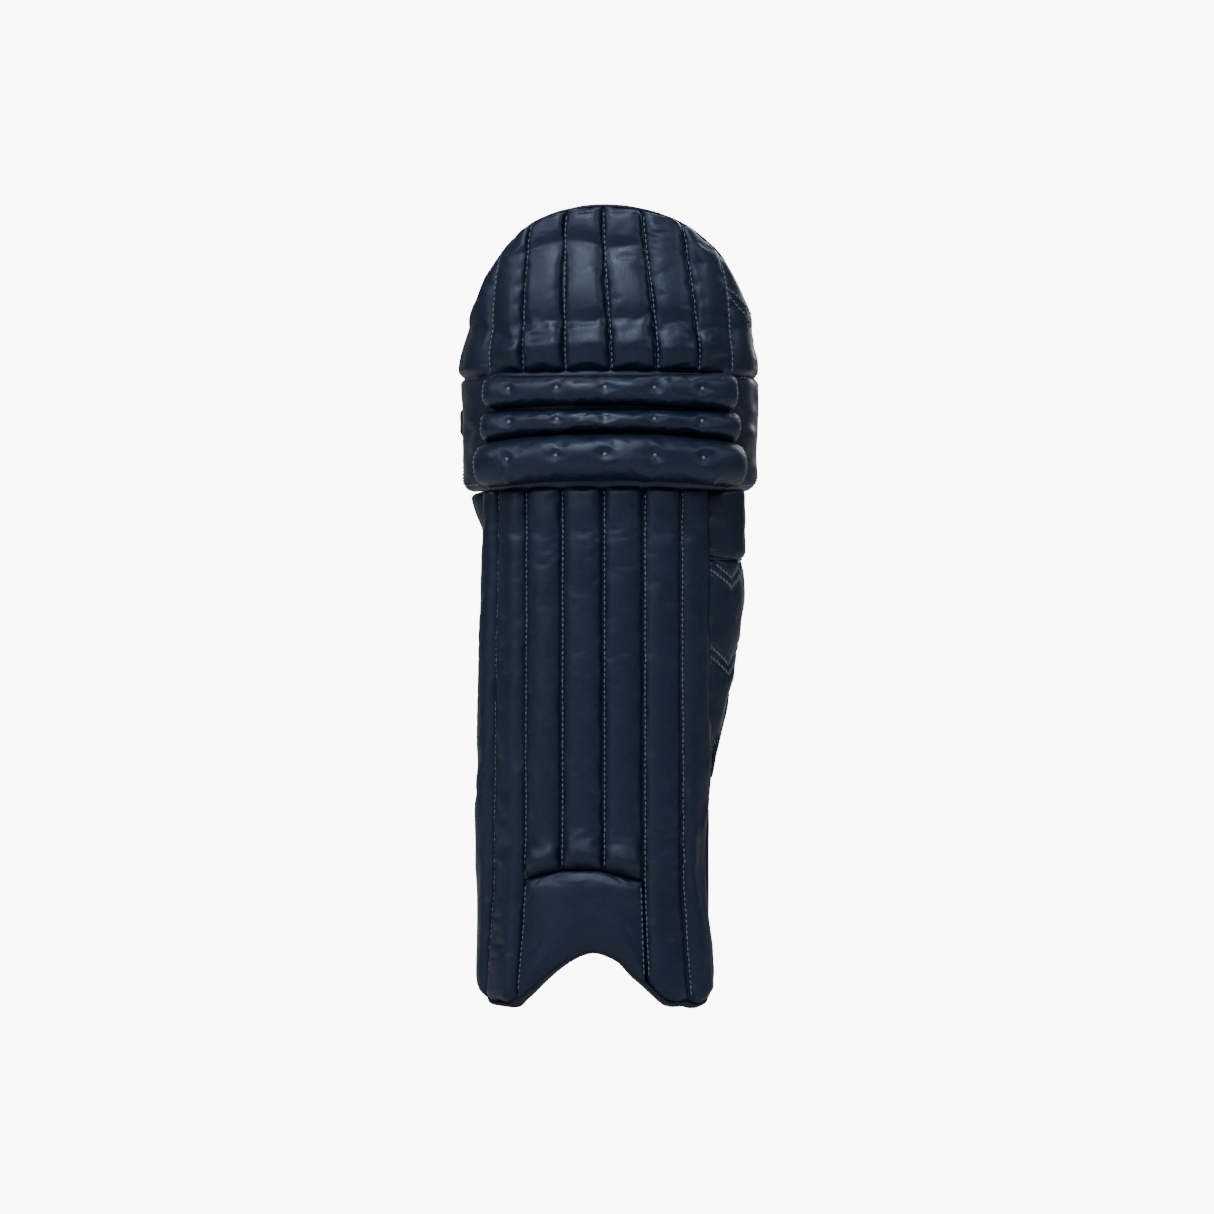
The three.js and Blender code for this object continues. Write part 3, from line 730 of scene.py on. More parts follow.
def shin_front(s, z, d):
    rise, k, u = channel(s, shin_edges)
    in_instep = (s > instep_left) & (s < instep_right)
    # the middle channels end above the instep block, and the others at the lower edge
    above = z - np.where(in_instep, instep_top(s), shin_low(s))
    below = SHIN_JOIN - z
    ends = rounded_end(above, FOOT_REACH) * (0.35 + 0.65 * rounded_end(below, HEAD_REACH))
    stuffed = (bell(above, *FOOT_BULGE) - bell(above, *FOOT_TUCK)) * in_instep
    stuffed += (bell(below, *HEAD_BULGE) - bell(below, *HEAD_TUCK)) * (np.abs(s) < 90)
    height = rise * (SHIN_RISE * ends + stuffed)
    height += rise * (0.20 * ripple(s * 0.35 + 40 * k, z, 11, 90) + 0.12 * ripple(s, z, 12, 30))
    height += 0.25 * puckers(u) * rise * ripple(s * 0.3, z, 13, 9)
    height = height * (1 - 0.5 * ramp(s, *RIGHT_EDGE) * ramp(z, 15, 90))
    height += LEFT_FULL * ramp(-s, *LEFT_EDGE) * (1 - 0.8 * ramp(z, 230, 430))
    return np.where(in_instep & (above < 0), -2.5, np.maximum(height, 0.15))


def build_shin():
    columns = channel_columns(shin_edges)
    panel = Panel("shin_front", shin, columns, shin_low(columns), np.full(len(columns), SHIN_JOIN), 190,
                  shin_front, quilted_lining(shin_seams), middle=-4.5, rim=9.0, warp=waist)
    under_block = (panel.s > instep_left) & (panel.s < instep_right) & (panel.z < instep_top(panel.s))
    settle(panel, on_seams(panel, shin_seams) | under_block, pressure=5.0, grow=0.012, cap=1.0)
    dress_skin(panel, "shin", "shin", *CANES)
    for seam in shin_seams:
        bottom = instep_top(seam) + 5 if instep_left < seam < instep_right else shin_low(seam) + 7
        stitch("shin", panel, upright(seam + STITCH_SIDE, bottom, SHIN_JOIN - 6, 4.0))


def build_instep_block():
    """The plain padded block between the side channels, over the foot."""
    columns = edge_spaced(instep_left + BLOCK_GAP, instep_right - BLOCK_GAP, 46)

    def front(s, z, d):
        lip = bell(instep_top(s) - z, 17, 12, 0.9)
        return BLOCK_HEIGHT + 1.1 * ramp(d, 0, 34) + lip + 0.2 * ripple(s, z, 21, 45)

    block = Panel("instep_block", shin, columns, shin_low(columns), instep_top(columns), 56,
                  front, level(-2.0), middle=0.6, rim=11.0)
    settle(block, pressure=5.0, grow=0.012, cap=1.0)
    dress(block, "pad_leather", "shin", "instep_cover", "instep_pad")
    for s in (instep_left + 2.6, instep_right - 2.6):
        stitch("shin", block, upright(s, shin_low(s) + 6, instep_top(s) - 3, 3))


def build_shin_binding(wing_start):
    """The bound edge, down the left side, round both lobes and the arch and up to the calf wing."""
    first, last = shin_s[0], shin_s[-1]
    path = upright(first, SHIN_JOIN - 3, shin_low(first), -3)
    path += [(s, shin_low(s)) for s in np.linspace(first, last, 160)]
    path += upright(last, shin_low(last) + 3, wing_start, 3)
    path = even(path)
    path[:, 0] += waist(*path.T)
    bind("shin_edge", shin, path, 6.6, 2.6, -5.0, "shin", "shin_binding")


# ---- Knee ----
SIDE_SKIRT = (150, 200)  # distances round the knee where the skin's extra height at the sides fades out
EDGE_INSET = 5.5  # stitches run this far inside an edge
knee_s, knee_lows, knee_highs = upper.outline("knee_foam", blur=6)


def knee_edge(s, in_front, outline):
    """Level in front and at the sides, and following the outline behind."""
    behind = ramp(np.abs(s), *SIDE_SKIRT)
    return in_front * (1 - behind) + np.interp(s, knee_s, outline) * behind


def knee_low(s):
    return knee_edge(s, HINGES["knee_flex"][2] - OVERLAP, knee_lows)


def knee_high(s):
    return knee_edge(s, HINGES["top_hat_flex"][2] + OVERLAP, knee_highs)


def build_knee_panel():
    columns = edge_spaced(knee_s[0], knee_s[-1], 130, 0.4)

    def front(s, z, d):
        creases = bell(np.abs(s), 140, 26, 0.8) * ripple(s * 0.5, z, 33, 24)
        return 1.6 + 0.5 * ripple(s, z, 31, 50) + creases

    seamless = quilted_lining([knee_s[0] - 50])
    panel = Panel("knee_skin", upper, columns, knee_low(columns), knee_high(columns), 52,
                  front, seamless, middle=-5.5, rim=7.0)
    dress_skin(panel, KNEE_SKIN, "knee")
    for end in (knee_s[0], knee_s[-1]):
        s = end - np.sign(end) * EDGE_INSET
        stitch(KNEE_SKIN, panel, upright(s, knee_low(end) + 6, knee_high(end) - 6, 3))
    for edge, inset in ((knee_low, EDGE_INSET), (knee_high, -EDGE_INSET)):
        for side in (-1, 1):
            s = side * np.linspace(128, abs(knee_s[0]) - 6, 60)
            stitch(KNEE_SKIN, panel, np.stack([s, edge(s) + inset], 1))
    return panel


class Roll:
    """One of the three stuffed rolls across the knee, tufted by five small knots."""

    shell = upper
    BACK = 2.2  # height of its back over the shell
    DIMPLES = ((2.9, 3.6, 1.4), (0.8, 12, 2))  # depth, radius and steepness, the pit and the hollow round it
    END_SEAM = 7.5  # its end seam is this far from its ends
    CORNER = 7.0  # radius of the seam round each end, on the knee's skin
    KNOT = ((-1.0, 1.5), (0.3, 1.7), (0.8, 1.2), (1.0, 0.5))  # height and radius of its rings

    def __init__(self, name, seed):
        self.name, self.seed = name, seed
        v = vertices(f"knee_roll_cover_{name}")
        s = upper.s_of(v)
        self.middle, self.half_length = (s.min() + s.max()) / 2, (s.max() - s.min()) / 2 + 2
        bins = np.digitize(s, np.linspace(s.min(), s.max(), 14))
        inner = [k for k in range(3, 12) if (bins == k).any()]
        centres = [s[bins == k].mean() for k in inner]
        self.lower_edge = np.polyfit(centres, [v[bins == k, 2].min() for k in inner], 2)
        self.upper_edge = np.polyfit(centres, [v[bins == k, 2].max() for k in inner], 2)
        self.depth = upper.height(v).max() - 1.5 - self.BACK
        knots = vertices(f"tufting_{name}")
        away = upper.height(knots)
        tops = knots[away > away.max() - 3]
        along = np.sort(upper.s_of(tops))
        starts = np.concatenate([[0], np.flatnonzero(np.diff(along) > 12) + 1, [len(along)]])
        self.tufts = []
        for a, b in zip(starts[:-1], starts[1:]):
            s_tuft = along[a:b].mean()
            self.tufts.append((s_tuft, np.mean(self.edges(s_tuft)) + 1.5))

    def edges(self, s):
        return np.polyval(self.lower_edge, s), np.polyval(self.upper_edge, s)

    def build(self, length=160, around=36):
        s = self.middle + edge_spaced(-self.half_length, self.half_length, length, 0.6)
        turn = np.linspace(-1, 1, around)
        low, high = self.edges(s)
        centre, half = (low + high) / 2, (high - low) / 2 + 0.7
        far = np.abs(s - self.middle) / self.half_length
        end = np.sqrt(np.clip(1 - far ** 26, 0, 1))
        bulge = np.sqrt(np.clip(1 - far ** 15, 0, 1))
        a = turn * math.pi / 2
        up = signed_power(np.sin(a), 0.85)
        forward = np.abs(np.cos(a)) ** 0.8
        z = centre[:, None] + half[:, None] * (0.5 + 0.5 * end[:, None]) * up[None, :]
        off = self.BACK + self.depth * bulge[:, None] * forward[None, :]
        grid_s = np.repeat(s[:, None], around, 1)
        for tuft_s, tuft_z in self.tufts:
            r = np.hypot((grid_s - tuft_s) * 0.8, z - tuft_z)
            off -= sum(deep * np.exp(-((r / wide) ** steep)) for deep, wide, steep in self.DIMPLES)
        off += forward[None, :] * 0.35 * ripple(grid_s, z * 1.5, self.seed, 46)
        off += forward[None, :] * 0.16 * ripple(grid_s, z, self.seed + 1, 16)
        index = np.arange(grid_s.size).reshape(grid_s.shape)
        points = upper.at(grid_s, z, off).reshape(-1, 3)
        faces = grid_faces(np.concatenate([index, index[:, :1]], 1)).tolist()
        faces += [index[0, ::-1].tolist(), index[-1].tolist()]
        self.obj = mesh_object(f"knee_roll_{self.name}", points, faces)
        held = np.zeros(grid_s.shape, bool)
        held[:, :2] = held[:, -2:] = True
        held[[0, 1, -2, -1]] = True
        for tuft_s, tuft_z in self.tufts:
            held |= (np.hypot(grid_s - tuft_s, z - tuft_z) < 1.8) & (np.abs(turn)[None, :] < 0.8)
        inflate(self.obj, index[held], pressure=8.0, grow=0.012, cap=0.9)
        for side in (-1, 1):
            s_end = self.middle + side * (self.half_length - self.END_SEAM)
            low, high = self.edges(s_end)
            stitch("knee", self, upright(s_end, low + 5, high - 3, 2), length=3.0)
        dress(self.obj, "pad_leather", "knee", f"knee_roll_core_{self.name}", f"knee_roll_cover_{self.name}")

    def end_path(self, side):
        """The stitched line round one end of the roll, on the knee's skin."""
        s_end = self.middle + side * (self.half_length + 2.6)
        low, high = self.edges(s_end - side * 6)
        r = self.CORNER
        turn = np.linspace(0, math.pi / 2, 7)
        top = [(s_end - side * r * (1 - math.sin(t)), high + 0.3 - r * (1 - math.cos(t))) for t in turn]
        bottom = [(s_end - side * r * (1 - math.cos(t)), low - 0.3 + r * (1 - math.sin(t))) for t in turn]
        return np.array([(s_end - side * 11, high + 0.3), *top, *bottom, (s_end - side * 11, low - 0.3)])

    def build_knots(self):
        """The small knots at the bottom of the roll's dimples."""
        turn = circle(TUBE_SIDES)
        points, faces = [], []
        for tuft_s, tuft_z in self.tufts:
            normal = upper.normal(tuft_s, tuft_z)
            centre = land(tree_of(self.obj), [upper.at(tuft_s, tuft_z)], [normal])[0]
            x = unit(np.cross([0, 0, 1.0], normal))
            y = np.cross(normal, x)
            base = len(points)
            for height, radius in self.KNOT:
                spokes = [x * math.cos(t) + y * math.sin(t) for t in turn]
                points += [centre + normal * height + spoke * radius for spoke in spokes]
            faces += tube_faces(np.arange(base, len(points)).reshape(-1, TUBE_SIDES))
        dress(mesh_object(f"knots_{self.name}", points, faces), "stitching", "knee", f"tufting_{self.name}")


# ---- Top hat ----
HAT_CANES = [f"hat_cane_{k}" for k in range(1, 9)]
HAT_RISE = 9.5  # how far the channels stand out
HAT_JOIN = HINGES["top_hat_flex"][2] - OVERLAP
HAT_SHARP = 5.5  # the channels are flatter on top than the shin's
HAT_FOOT = 24  # and are rounded over this distance at the foot
BUNCH = 23  # stuffing bunches this far above the foot, and tucks in above that
BUNCH_BULGE, BUNCH_TUCK = (10, 2.8), (21, 8, 0.9)
FOLD, FOLD_DEPTH = 34, 2.6  # a soft fold this far below the top
LEAN = 7.5  # the middle seams lean this far to the left as they rise
FLARE = 8.5  # and the lower corners flare out by this much
CORNER_LEFT, CORNER_RIGHT = 7.0, 3.5  # and stand forward by this much
FAN = ((77, 21), (70, 29))  # two lines of stitching beside the right edge: height at the seam, and drop
hat_s, _, hat_highs = upper.outline("hat_foam", blur=5)
hat_seams = seams_between(upper, HAT_CANES)
hat_edges = [hat_s[0], *hat_seams, hat_s[-1]]


def hat_high(s):
    return np.interp(s, hat_s, hat_highs)


def lean(s, z):
    """How far the leather's seams and edges stand beside the canes' and the foam's."""
    middle = -LEAN * ramp(z, HAT_JOIN, hat_highs.max()) * np.clip(1 - (s / 118) ** 2, 0, 1)
    return middle + FLARE * np.sign(s) * ramp(np.abs(s), 112, 149) * (1 - ramp(z, 562, 640))


def hat_front(s, z, d):
    rise, k, u = channel(s, hat_edges, HAT_SHARP)
    outer = 1 - 0.8 * ramp(np.abs(s), 72, 122)  # the side channels lie flatter, for a clean outline
    head = rounded_end(hat_high(s) - z, 9 + 15 * ramp(np.abs(s), 50, 110))
    bunch = HAT_JOIN + BUNCH + 2.0 * ripple(k * 37.0, 0 * z, 3, 60)
    height = HAT_RISE * rounded_end(z - HAT_JOIN, HAT_FOOT)
    height += bell(z, bunch, *BUNCH_BULGE) - bell(z - bunch, *BUNCH_TUCK)
    fold = hat_high(s) - FOLD + 3 * ripple(s, 0 * z, 4, 90)
    middle = np.exp(-(((s + 20) / 66) ** 4))
    height -= FOLD_DEPTH * middle * bell(z, fold, np.where(z > fold, 9, 30))
    height += 0.35 * ripple(s * 0.35 + 50 * k, z, 14, 80)
    height += 0.42 * ripple(s, z * 0.8, 15, 17) * bell(z, bunch + 8, 15)
    height += 0.3 * puckers(u) * ripple(s * 0.3, z, 17, 10)
    corner = np.where(s < 0, CORNER_LEFT, CORNER_RIGHT) * (1 - ramp(z, 556, 596))
    return np.maximum(height * rise * head * outer, 0.15) + (1.6 + corner) * ramp(np.abs(s), 96, 135)


def build_hat():
    columns = channel_columns(hat_edges)
    panel = Panel("hat_front", upper, columns, np.full(len(columns), HAT_JOIN), hat_high(columns), 96,
                  hat_front, quilted_lining(hat_seams), middle=-4.5, rim=8.0, warp=lean)
    settle(panel, on_seams(panel, hat_seams), pressure=5.0, grow=0.02, cap=1.3)
    dress_skin(panel, HAT_SKIN, "hat", *HAT_CANES)

    first, last = hat_s[0], hat_s[-1]
    path = upright(first, HAT_JOIN + 3, hat_high(first), 2.5)
    path += list(zip(hat_s, hat_highs))
    path += upright(last, hat_high(last), HAT_JOIN + 3, -2.5)
    path = even(path)
    path[:, 0] += lean(*path.T)
    bind("hat_edge", upper, path, 6.0, 2.2, -5.0, HAT_SKIN, "hat_binding")

    for seam in hat_seams:
        z = np.arange(HAT_JOIN + 4, hat_high(seam) - 6, 4.0)
        stitch(HAT_SKIN, panel, np.stack([seam + lean(seam, z) + STITCH_SIDE, z], 1))
    s = np.linspace(hat_seams[-1] + 1.5, last - 5, 12)
    across = (s - s[0]) / (s[-1] - s[0])
    for start, drop in FAN:
        stitch(HAT_SKIN, panel, np.stack([s, HAT_JOIN + start - drop * across ** 1.2], 1))


# ---- Padded pieces that follow one CAD node ----
class Patch:
    """A piece with the outline of a CAD node: a shell through the node's outer face, and its edges."""

    def __init__(self, node, start=-math.pi, blur=3.0):
        self.node = node
        self.shell = Shell([node], 0.0, start)
        self.s, self.lows, self.highs = self.shell.outline(node, blur)
        self.thickness = -np.percentile(self.shell.height(vertices(node)), 4)

    def centre_and_half(self):
        return (self.s[0] + self.s[-1]) / 2, (self.s[-1] - self.s[0]) / 2

    def low(self, s):
        return np.interp(s, self.s, self.lows)

    def high(self, s):
        return np.interp(s, self.s, self.highs)

    def edge(self, inset=0.0, sides="lrtb", step=2.5):
        """The outline as one path, down the left, along the bottom, up the right and back along the top."""
        first, last = self.s[0] + inset, self.s[-1] - inset
        path = []
        if "l" in sides:
            path += upright(first, self.high(first) - inset, self.low(first) + inset, -step)
        if "b" in sides:
            path += [(s, self.low(s) + inset) for s in np.arange(first, last, step)]
        if "r" in sides:
            path += upright(last, self.low(last) + inset, self.high(last) - inset, step)
        if "t" in sides:
            path += [(s, self.high(s) - inset) for s in np.arange(last, first, -step)]
        return even(path)

    def panel(self, name, front, back, middle, rim, columns, rows, pull=0.5):
        s = edge_spaced(self.s[0], self.s[-1], columns, pull)
        return Panel(name, self.shell, s, self.low(s), self.high(s), rows, front, back, middle, rim)


# ---- Calf wing ----
CHEVRON_HEIGHTS = (389, 313, 236)
CHEVRON_PAIR = 8.3  # between the two lines of each chevron
CHEVRON_DROP = 15
CHEVRON_RUN = 22  # from the seam to the point of each chevron
CHEVRON_RISE = 0.75  # slope behind the point
CHEVRON_END = 74
GROOVE = (0, 2.6, 2.2)  # each line is drawn in like this
WING_EDGE = -5.0  # height of the wing's border over the shell
WING_TAPER = (34, 13)  # the wing reaches this much lower at its seam, and tapers off over this distance
WING_FOOT_IN, WING_FOOT_RISE = 8.0, 80  # and is drawn in by this much, less and less over this height
WING_TUCK = 18.0  # how far the wing runs in behind the shin's edge
WING_BEND = 20  # the span across the wing's hinge reaches this far beside the seam
BINDING_PAST_FOOT = 88  # the shin's edge is bound up to this far over the wing's foot


def chevrons(wing):
    """Pairs of stitched lines that run down from the front seam to a point and up again behind it."""
    run = np.concatenate([np.linspace(-2, CHEVRON_RUN, 20), np.linspace(CHEVRON_RUN + 2, CHEVRON_END, 26)])
    s = wing.s[0] + run
    down = CHEVRON_DROP * np.clip(run / CHEVRON_RUN, 0, 1)
    up = CHEVRON_RISE * np.clip(run - CHEVRON_RUN, 0, None)
    for height in CHEVRON_HEIGHTS:
        for gap in (0, CHEVRON_PAIR):
            z = height - gap - down + up
            inside = (z > wing.low(s) + 4) & (z < wing.high(s) - 5)
            first = np.argmax(inside)
            stop = np.flatnonzero(~inside[first:])
            last = first + (stop[0] if len(stop) else len(s))
            if last - first > 2:
                yield np.stack([s[first:last], z[first:last]], 1)


def build_calf_wing():
    """Builds the wing and returns the height of its foot."""
    wing = Patch("calf_wing_cover", 0.0)
    seam = wing.s[0]
    wing.lows = wing.lows - WING_TAPER[0] * np.exp(-(wing.s - seam) / WING_TAPER[1])
    foot = wing.lows.min()
    wing.lows[:np.argmin(wing.lows)] = foot  # its front edge runs straight down to the foot
    lines = list(chevrons(wing))

    def core(s, z):
        return WING_EDGE - WING_FOOT_IN * (1 - ramp(z, foot, foot + WING_FOOT_RISE))

    def front(s, z, d):
        nearest = np.min([distance_to(line, s, z) for line in lines], axis=0)
        padding = 1.6 * ramp(d, 0, 22) + 0.35 * ripple(s, z, 51, 45)
        return core(s, z) - WING_EDGE + padding - bell(nearest, *GROOVE)

    def back(s, z, d):
        swell = np.sin(math.pi * np.clip((s - wing.s[0]) / (wing.s[-1] - wing.s[0]), 0, 1))
        return core(s, z) - 6.0 - 3.5 * np.sqrt(swell) + 0.3 * ripple(s, z, 52, 50)

    z = HINGES["calf_wing_open"][2]
    bend = [tuple(wing.shell.at(s, z) * MM) for s in (seam - 1, seam + WING_BEND)]
    skin = ("shin", "calf_wing", *bend)
    wing.s[0] -= WING_TUCK
    panel = wing.panel("calf_wing", front, back, core, 7.0, 84, 120)
    settle(panel, pressure=4.0, grow=0.01, cap=0.8)
    dress_skin(panel, skin, "calf_wing")
    border = wing.edge(0.0, "brt")
    bind("calf_wing_edge", wing.shell, border, 5.6, 2.2, core(*border.T) - 0.5, skin)
    for line in lines:
        for beside in (-0.7, 0.7):
            stitch(skin, panel, line + [0, beside], length=3.2, gap=0.5)
    stitch(skin, panel, wing.edge(6.0, "br"))
    return float(foot)


# ---- Narrow wing, side pads, bolsters and knee cup ----
PAD_UP, PAD_DOWN, PAD_IN = 10, 7, 10  # the side pads reach on behind the knee's skin, below it and inwards
PAD_SPREAD = 11.0  # the left one spreads by this much towards its top


def build_narrow_wing():
    wing = Patch("narrow_wing_cover")
    wing.s[-1] += 3.4  # up to the shin's bound edge

    def front(s, z, d):
        return 0.8 * ramp(d, 0, 14) + 0.3 * ripple(s, z, 61, 50)

    panel = wing.panel("narrow_wing", front, level(-11.2), -5.5, 6.0, 32, 110)
    dress_skin(panel, "shin", "narrow_wing")
    stitch("shin", panel, wing.edge(EDGE_INSET, "lb"))


def build_side_pad(side):
    pad = Patch(f"side_pad_{side}")
    pad.shell.r[:] = np.median(pad.shell.r, axis=1, keepdims=True)
    pad.lows[:] = pad.lows.min() - PAD_DOWN
    pad.highs[:] = pad.highs.max() + PAD_UP
    end, outer, spread = (-1, "l", PAD_SPREAD) if side == "left" else (0, "r", 0.0)
    inner = pad.s[end]
    pad.s[end] = inner + np.sign(inner - pad.s.mean()) * PAD_IN

    def front(s, z, d):
        return 0.8 + 0.4 * ripple(s, z, 71, 26) + spread * ramp(z, 408, 446)

    def back(s, z, d):
        return -9.0 - bell(np.abs(s - inner), 26, 20, 7.0)

    panel = pad.panel(f"side_pad_{side}_leather", front, back, -6.0, 8.0, 44, 34)
    settle(panel, pressure=5.0, grow=0.02, cap=1.2)
    dress(panel, "pad_leather", "shin", pad.node)
    stitch("shin", panel, pad.edge(EDGE_INSET, outer), length=3.2)


def build_bolster(side):
    """An upright cushion behind the shin that keeps the leg off the shell."""
    pad = Patch(f"shin_bolster_{side}", blur=1.0)
    middle, half = pad.centre_and_half()

    def back(s, z, d):
        across = np.clip(1 - (np.abs(s - middle) / half) ** 3, 0, 1) ** 0.55
        ends = rounded_end(np.minimum(z - pad.low(s), pad.high(s) - z), 16)
        return -4.0 - (pad.thickness - 4.2) * across * ends + 0.4 * ripple(s, z, 81, 38)

    panel = pad.panel(f"shin_bolster_{side}_cloth", level(-0.3), back, -1.2, 3.0, 30, 120)
    dress(panel, "lining_fabric", "shin", pad.node)


def build_knee_cup():
    """The padded ring behind the knee rolls; its middle is hollowed for the kneecap."""
    cup = Patch("knee_cup", blur=2.0)
    middle, half = cup.centre_and_half()
    centre = (cup.lows.min() + cup.highs.max()) / 2
    rise = (cup.highs.max() - cup.lows.min()) / 2

    def back(s, z, d):
        across = np.hypot((s - middle) / half, (z - centre) / rise * 0.7)
        return -3.6 - 7.4 * np.clip(across, 0, 1) ** 0.9

    panel = cup.panel("knee_cup_cloth", level(-0.3), back, -1.5, 7.0, 46, 40)
    dress(panel, "lining_fabric", "knee", "knee_cup")


# ---- Straps ----
BEND = 24.0  # a strap bends over this distance beyond the edge it is sewn to
BACK_AND_IN = np.array([-0.55, 0.84, 0.0])  # the way the straps leave the pad's right edge
WEBBING = 2.5  # its thickness
CROSS = 28  # height of the cross of stitches that sews a strap on


def build_strap(name, sewn_to, overlap, stand_off):
    """A webbing strap with a padded back and a hook patch. Its root overlaps the piece it is sewn to."""
    body = f"strap_{name}"
    band = Patch(f"{body}_band", 0.0, blur=2.0)
    edge = band.s[0]
    root = band.shell.at(edge, HINGES[f"{body}_open"][2])
    webbing = (sewn_to, body, tuple(root * MM), tuple((root + BEND * BACK_AND_IN) * MM))

    def sunk(depth):
        """So far under the shell, and further where the root meets the piece it is sewn to."""
        return lambda s, z, d=None: -stand_off * (1 - ramp(s, edge, edge + BEND)) - depth

    def outside(s, z, d):
        return sunk(0)(s, z) + 0.35 * ripple(s * 0.4, z * 2, 91, 24) * ramp(d, 0, 4)

    band.s[0] -= overlap
    columns = int((band.s[-1] - band.s[0]) / 2.4)
    panel = band.panel(f"{body}_webbing", outside, sunk(WEBBING), sunk(1.2), 1.4, columns, 22, 0.2)
    dress(panel, "webbing", webbing, band.node)
    stitch(webbing, panel, band.edge(3.0), length=3.0)
    low = band.low(edge) + 5
    for start, stop in ((low, low + CROSS), (low + CROSS, low)):
        cross = [(band.s[0] + 4, start), (band.s[0] + 2 + overlap, stop)]
        stitch(webbing, panel, cross, length=3.0)

    pad = Patch(f"{body}_pad", 0.0, blur=2.0)

    def cushion(s, z, d):
        return -pad.thickness * rounded_end(d, 12) + 0.5 * ripple(s, z, 93, 22) * ramp(d, 3, 12)

    panel = pad.panel(f"{body}_cushion", level(0.2), cushion, -0.4, 2.0, 70, 26)
    dress(panel, "lining_fabric", body, pad.node)
    hook = Patch(f"{body}_hook", 0.0, blur=1.0)
    panel = hook.panel(f"{body}_hook_tape", level(0.2), level(-0.8), -0.4, 0.8, 24, 18)
    dress(panel, "hook_and_loop", body, hook.node)


def build_loop_patch(name, body):
    """A square of loop tape, sewn down all round."""
    patch = Patch(f"loop_patch_{name}", blur=1.0)
    panel = patch.panel(f"loop_patch_{name}_tape", level(0.25), level(-1.6), -0.6, 0.9, 24, 24)
    dress(panel, "hook_and_loop", body, patch.node)
    stitch(body, panel, patch.edge(2.0), length=2.6, gap=1.2)


# ---- Building the pad ----
build_shin()
build_instep_block()
build_shin_binding(build_calf_wing() + BINDING_PAST_FOOT)
knee_panel = build_knee_panel()
for number, name in enumerate(("upper", "middle", "lower")):
    roll = Roll(name, seed=40 + 3 * number)
    roll.build()
    roll.build_knots()
    for side in (-1, 1):
        stitch("knee", knee_panel, even(roll.end_path(side), 1.5), length=3.4, gap=1.2)
build_hat()
build_narrow_wing()
for side in ("left", "right"):
    build_side_pad(side)
    build_bolster(side)
build_knee_cup()
build_strap("knee", "knee", overlap=18, stand_off=2.6)
build_strap("calf", "calf_wing", overlap=14, stand_off=0.8)
build_strap("ankle", "shin", overlap=10, stand_off=0.0)
for name, body in (("knee", "knee"), ("calf", "shin"), ("ankle", "shin")):
    build_loop_patch(name, body)
for body in list(threads):
    dress(sew(body), "stitching", body)


# ---- Stage ----
BACKGROUND, SURROUND = 9.0, 0.16  # how bright the surroundings look, and how bright they are to the pad
FIELD_DEPTH = 0.04  # the field is as wide as given this far behind the pad's foremost point
LAMPS = (  # name, place in metres, height of the point it shines on, width, depth and watts
    ("key", (-0.25, -2.1, 1.75), 0.45, 2.6, 0.6, 28),
    ("left", (-2.1, -1.1, 1.7), 0.45, 1.4, 0.7, 16),
    ("right", (2.1, -1.1, 1.7), 0.45, 1.4, 0.7, 12),
    ("high", (-0.35, -1.4, 2.3), 0.45, 1.3, 0.3, 34),
    ("top", (0.1, 0.3, 2.4), 0.5, 1.2, 0.5, 12),
    ("behind", (0.9, 2.2, 1.5), 0.35, 2.0, 1.2, 26),
    ("fill", (-1.8, -2.2, 0.9), 0.35, 1.2, 1.6, 5),
)


def seen_only(tree, hidden, seen):
    """One value where light bounces off something, and another where the camera looks straight at it."""
    path = tree.nodes.new("ShaderNodeLightPath")
    choose = tree.nodes.new("ShaderNodeMapRange")
    return feed(choose, To_Min=hidden, To_Max=seen, Value=path.outputs["Is Camera Ray"])["Result"]


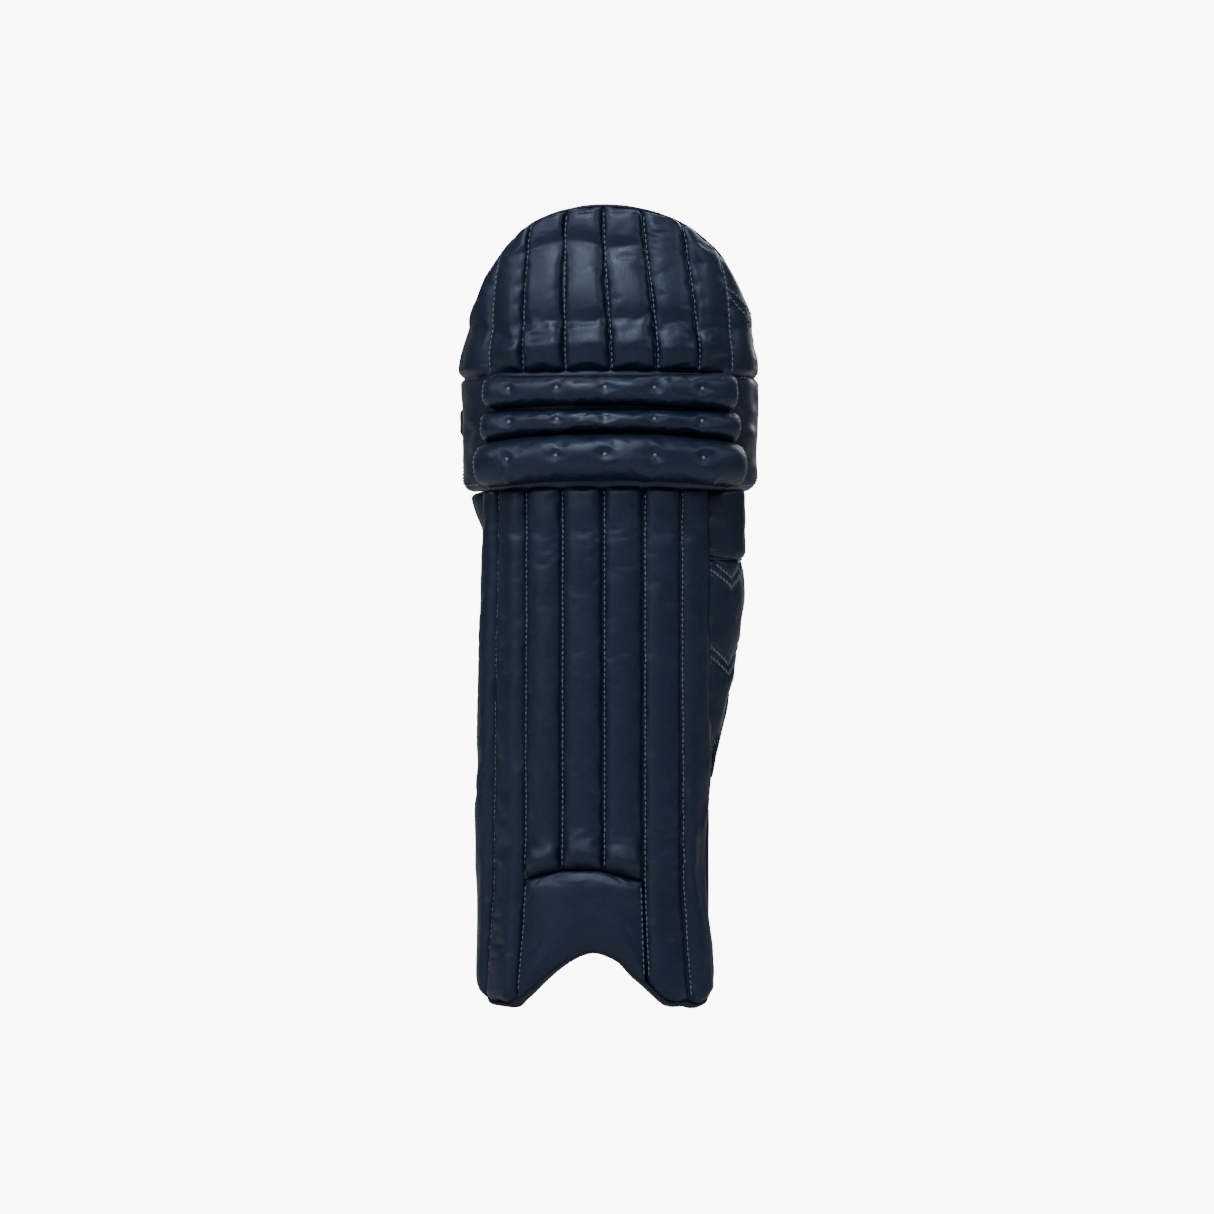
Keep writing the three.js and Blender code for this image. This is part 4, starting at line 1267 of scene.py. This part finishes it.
def build_backdrop():
    """A white sweep: a level floor that curves up into the wall behind."""
    white = bpy.data.materials.new("pale_floor")
    white.use_nodes = True
    glow = seen_only(white.node_tree, 0.0, BACKGROUND)
    feed(white.node_tree.nodes["Principled BSDF"], Base_Color=(0.6, 0.6, 0.6, 1), Roughness=0.9,
         Emission_Color=(1, 1, 1, 1), Emission_Strength=glow)
    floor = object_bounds()[0].z - 0.002
    bend, wall = 1.2, 2.8
    profile = [(-6.0, floor), (wall - bend, floor)]
    for t in np.linspace(0.1, math.pi / 2, 12):
        profile.append((wall - bend + bend * math.sin(t), floor + bend * (1 - math.cos(t))))
    profile.append((wall, 6.0))
    points = [(x, y, z) for y, z in profile for x in (-7.0, 7.0)]
    faces = [(2 * k, 2 * k + 1, 2 * k + 3, 2 * k + 2) for k in range(len(profile) - 1)]
    backdrop = mesh_object("backdrop", np.array(points) / MM, faces)
    backdrop.data.materials.append(white)
    backdrop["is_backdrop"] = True


def build_lamp(name, place, target, width, depth, power):
    light = bpy.data.lights.new(name, "AREA")
    light.shape, light.size, light.size_y, light.energy = "RECTANGLE", width, depth, power
    obj = add(name, light)
    obj.location = place
    obj.rotation_mode = "QUATERNION"
    obj.rotation_quaternion = (Vector((0, 0, target)) - Vector(place)).to_track_quat("-Z", "Y")


def build_camera(distance, field, height, aside):
    """Straight on from the front, level with the middle of the pad."""
    eye = bpy.data.cameras.new("camera")
    camera = add("camera", eye)
    eye.lens = eye.sensor_width * (distance + FIELD_DEPTH) / field
    camera.location = (aside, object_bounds()[0].y - distance, height)
    camera.rotation_euler = (math.pi / 2, 0, 0)
    bpy.context.scene.camera = camera


world = bpy.data.worlds.new("studio")
bpy.context.scene.world = world
world.use_nodes = True
glow = seen_only(world.node_tree, SURROUND, BACKGROUND)
feed(world.node_tree.nodes["Background"], Color=(1, 1, 1, 1), Strength=glow)
build_backdrop()
for lamp in LAMPS:
    build_lamp(*lamp)
build_camera(distance=2.8, field=1.049, height=0.3485, aside=-0.0015)
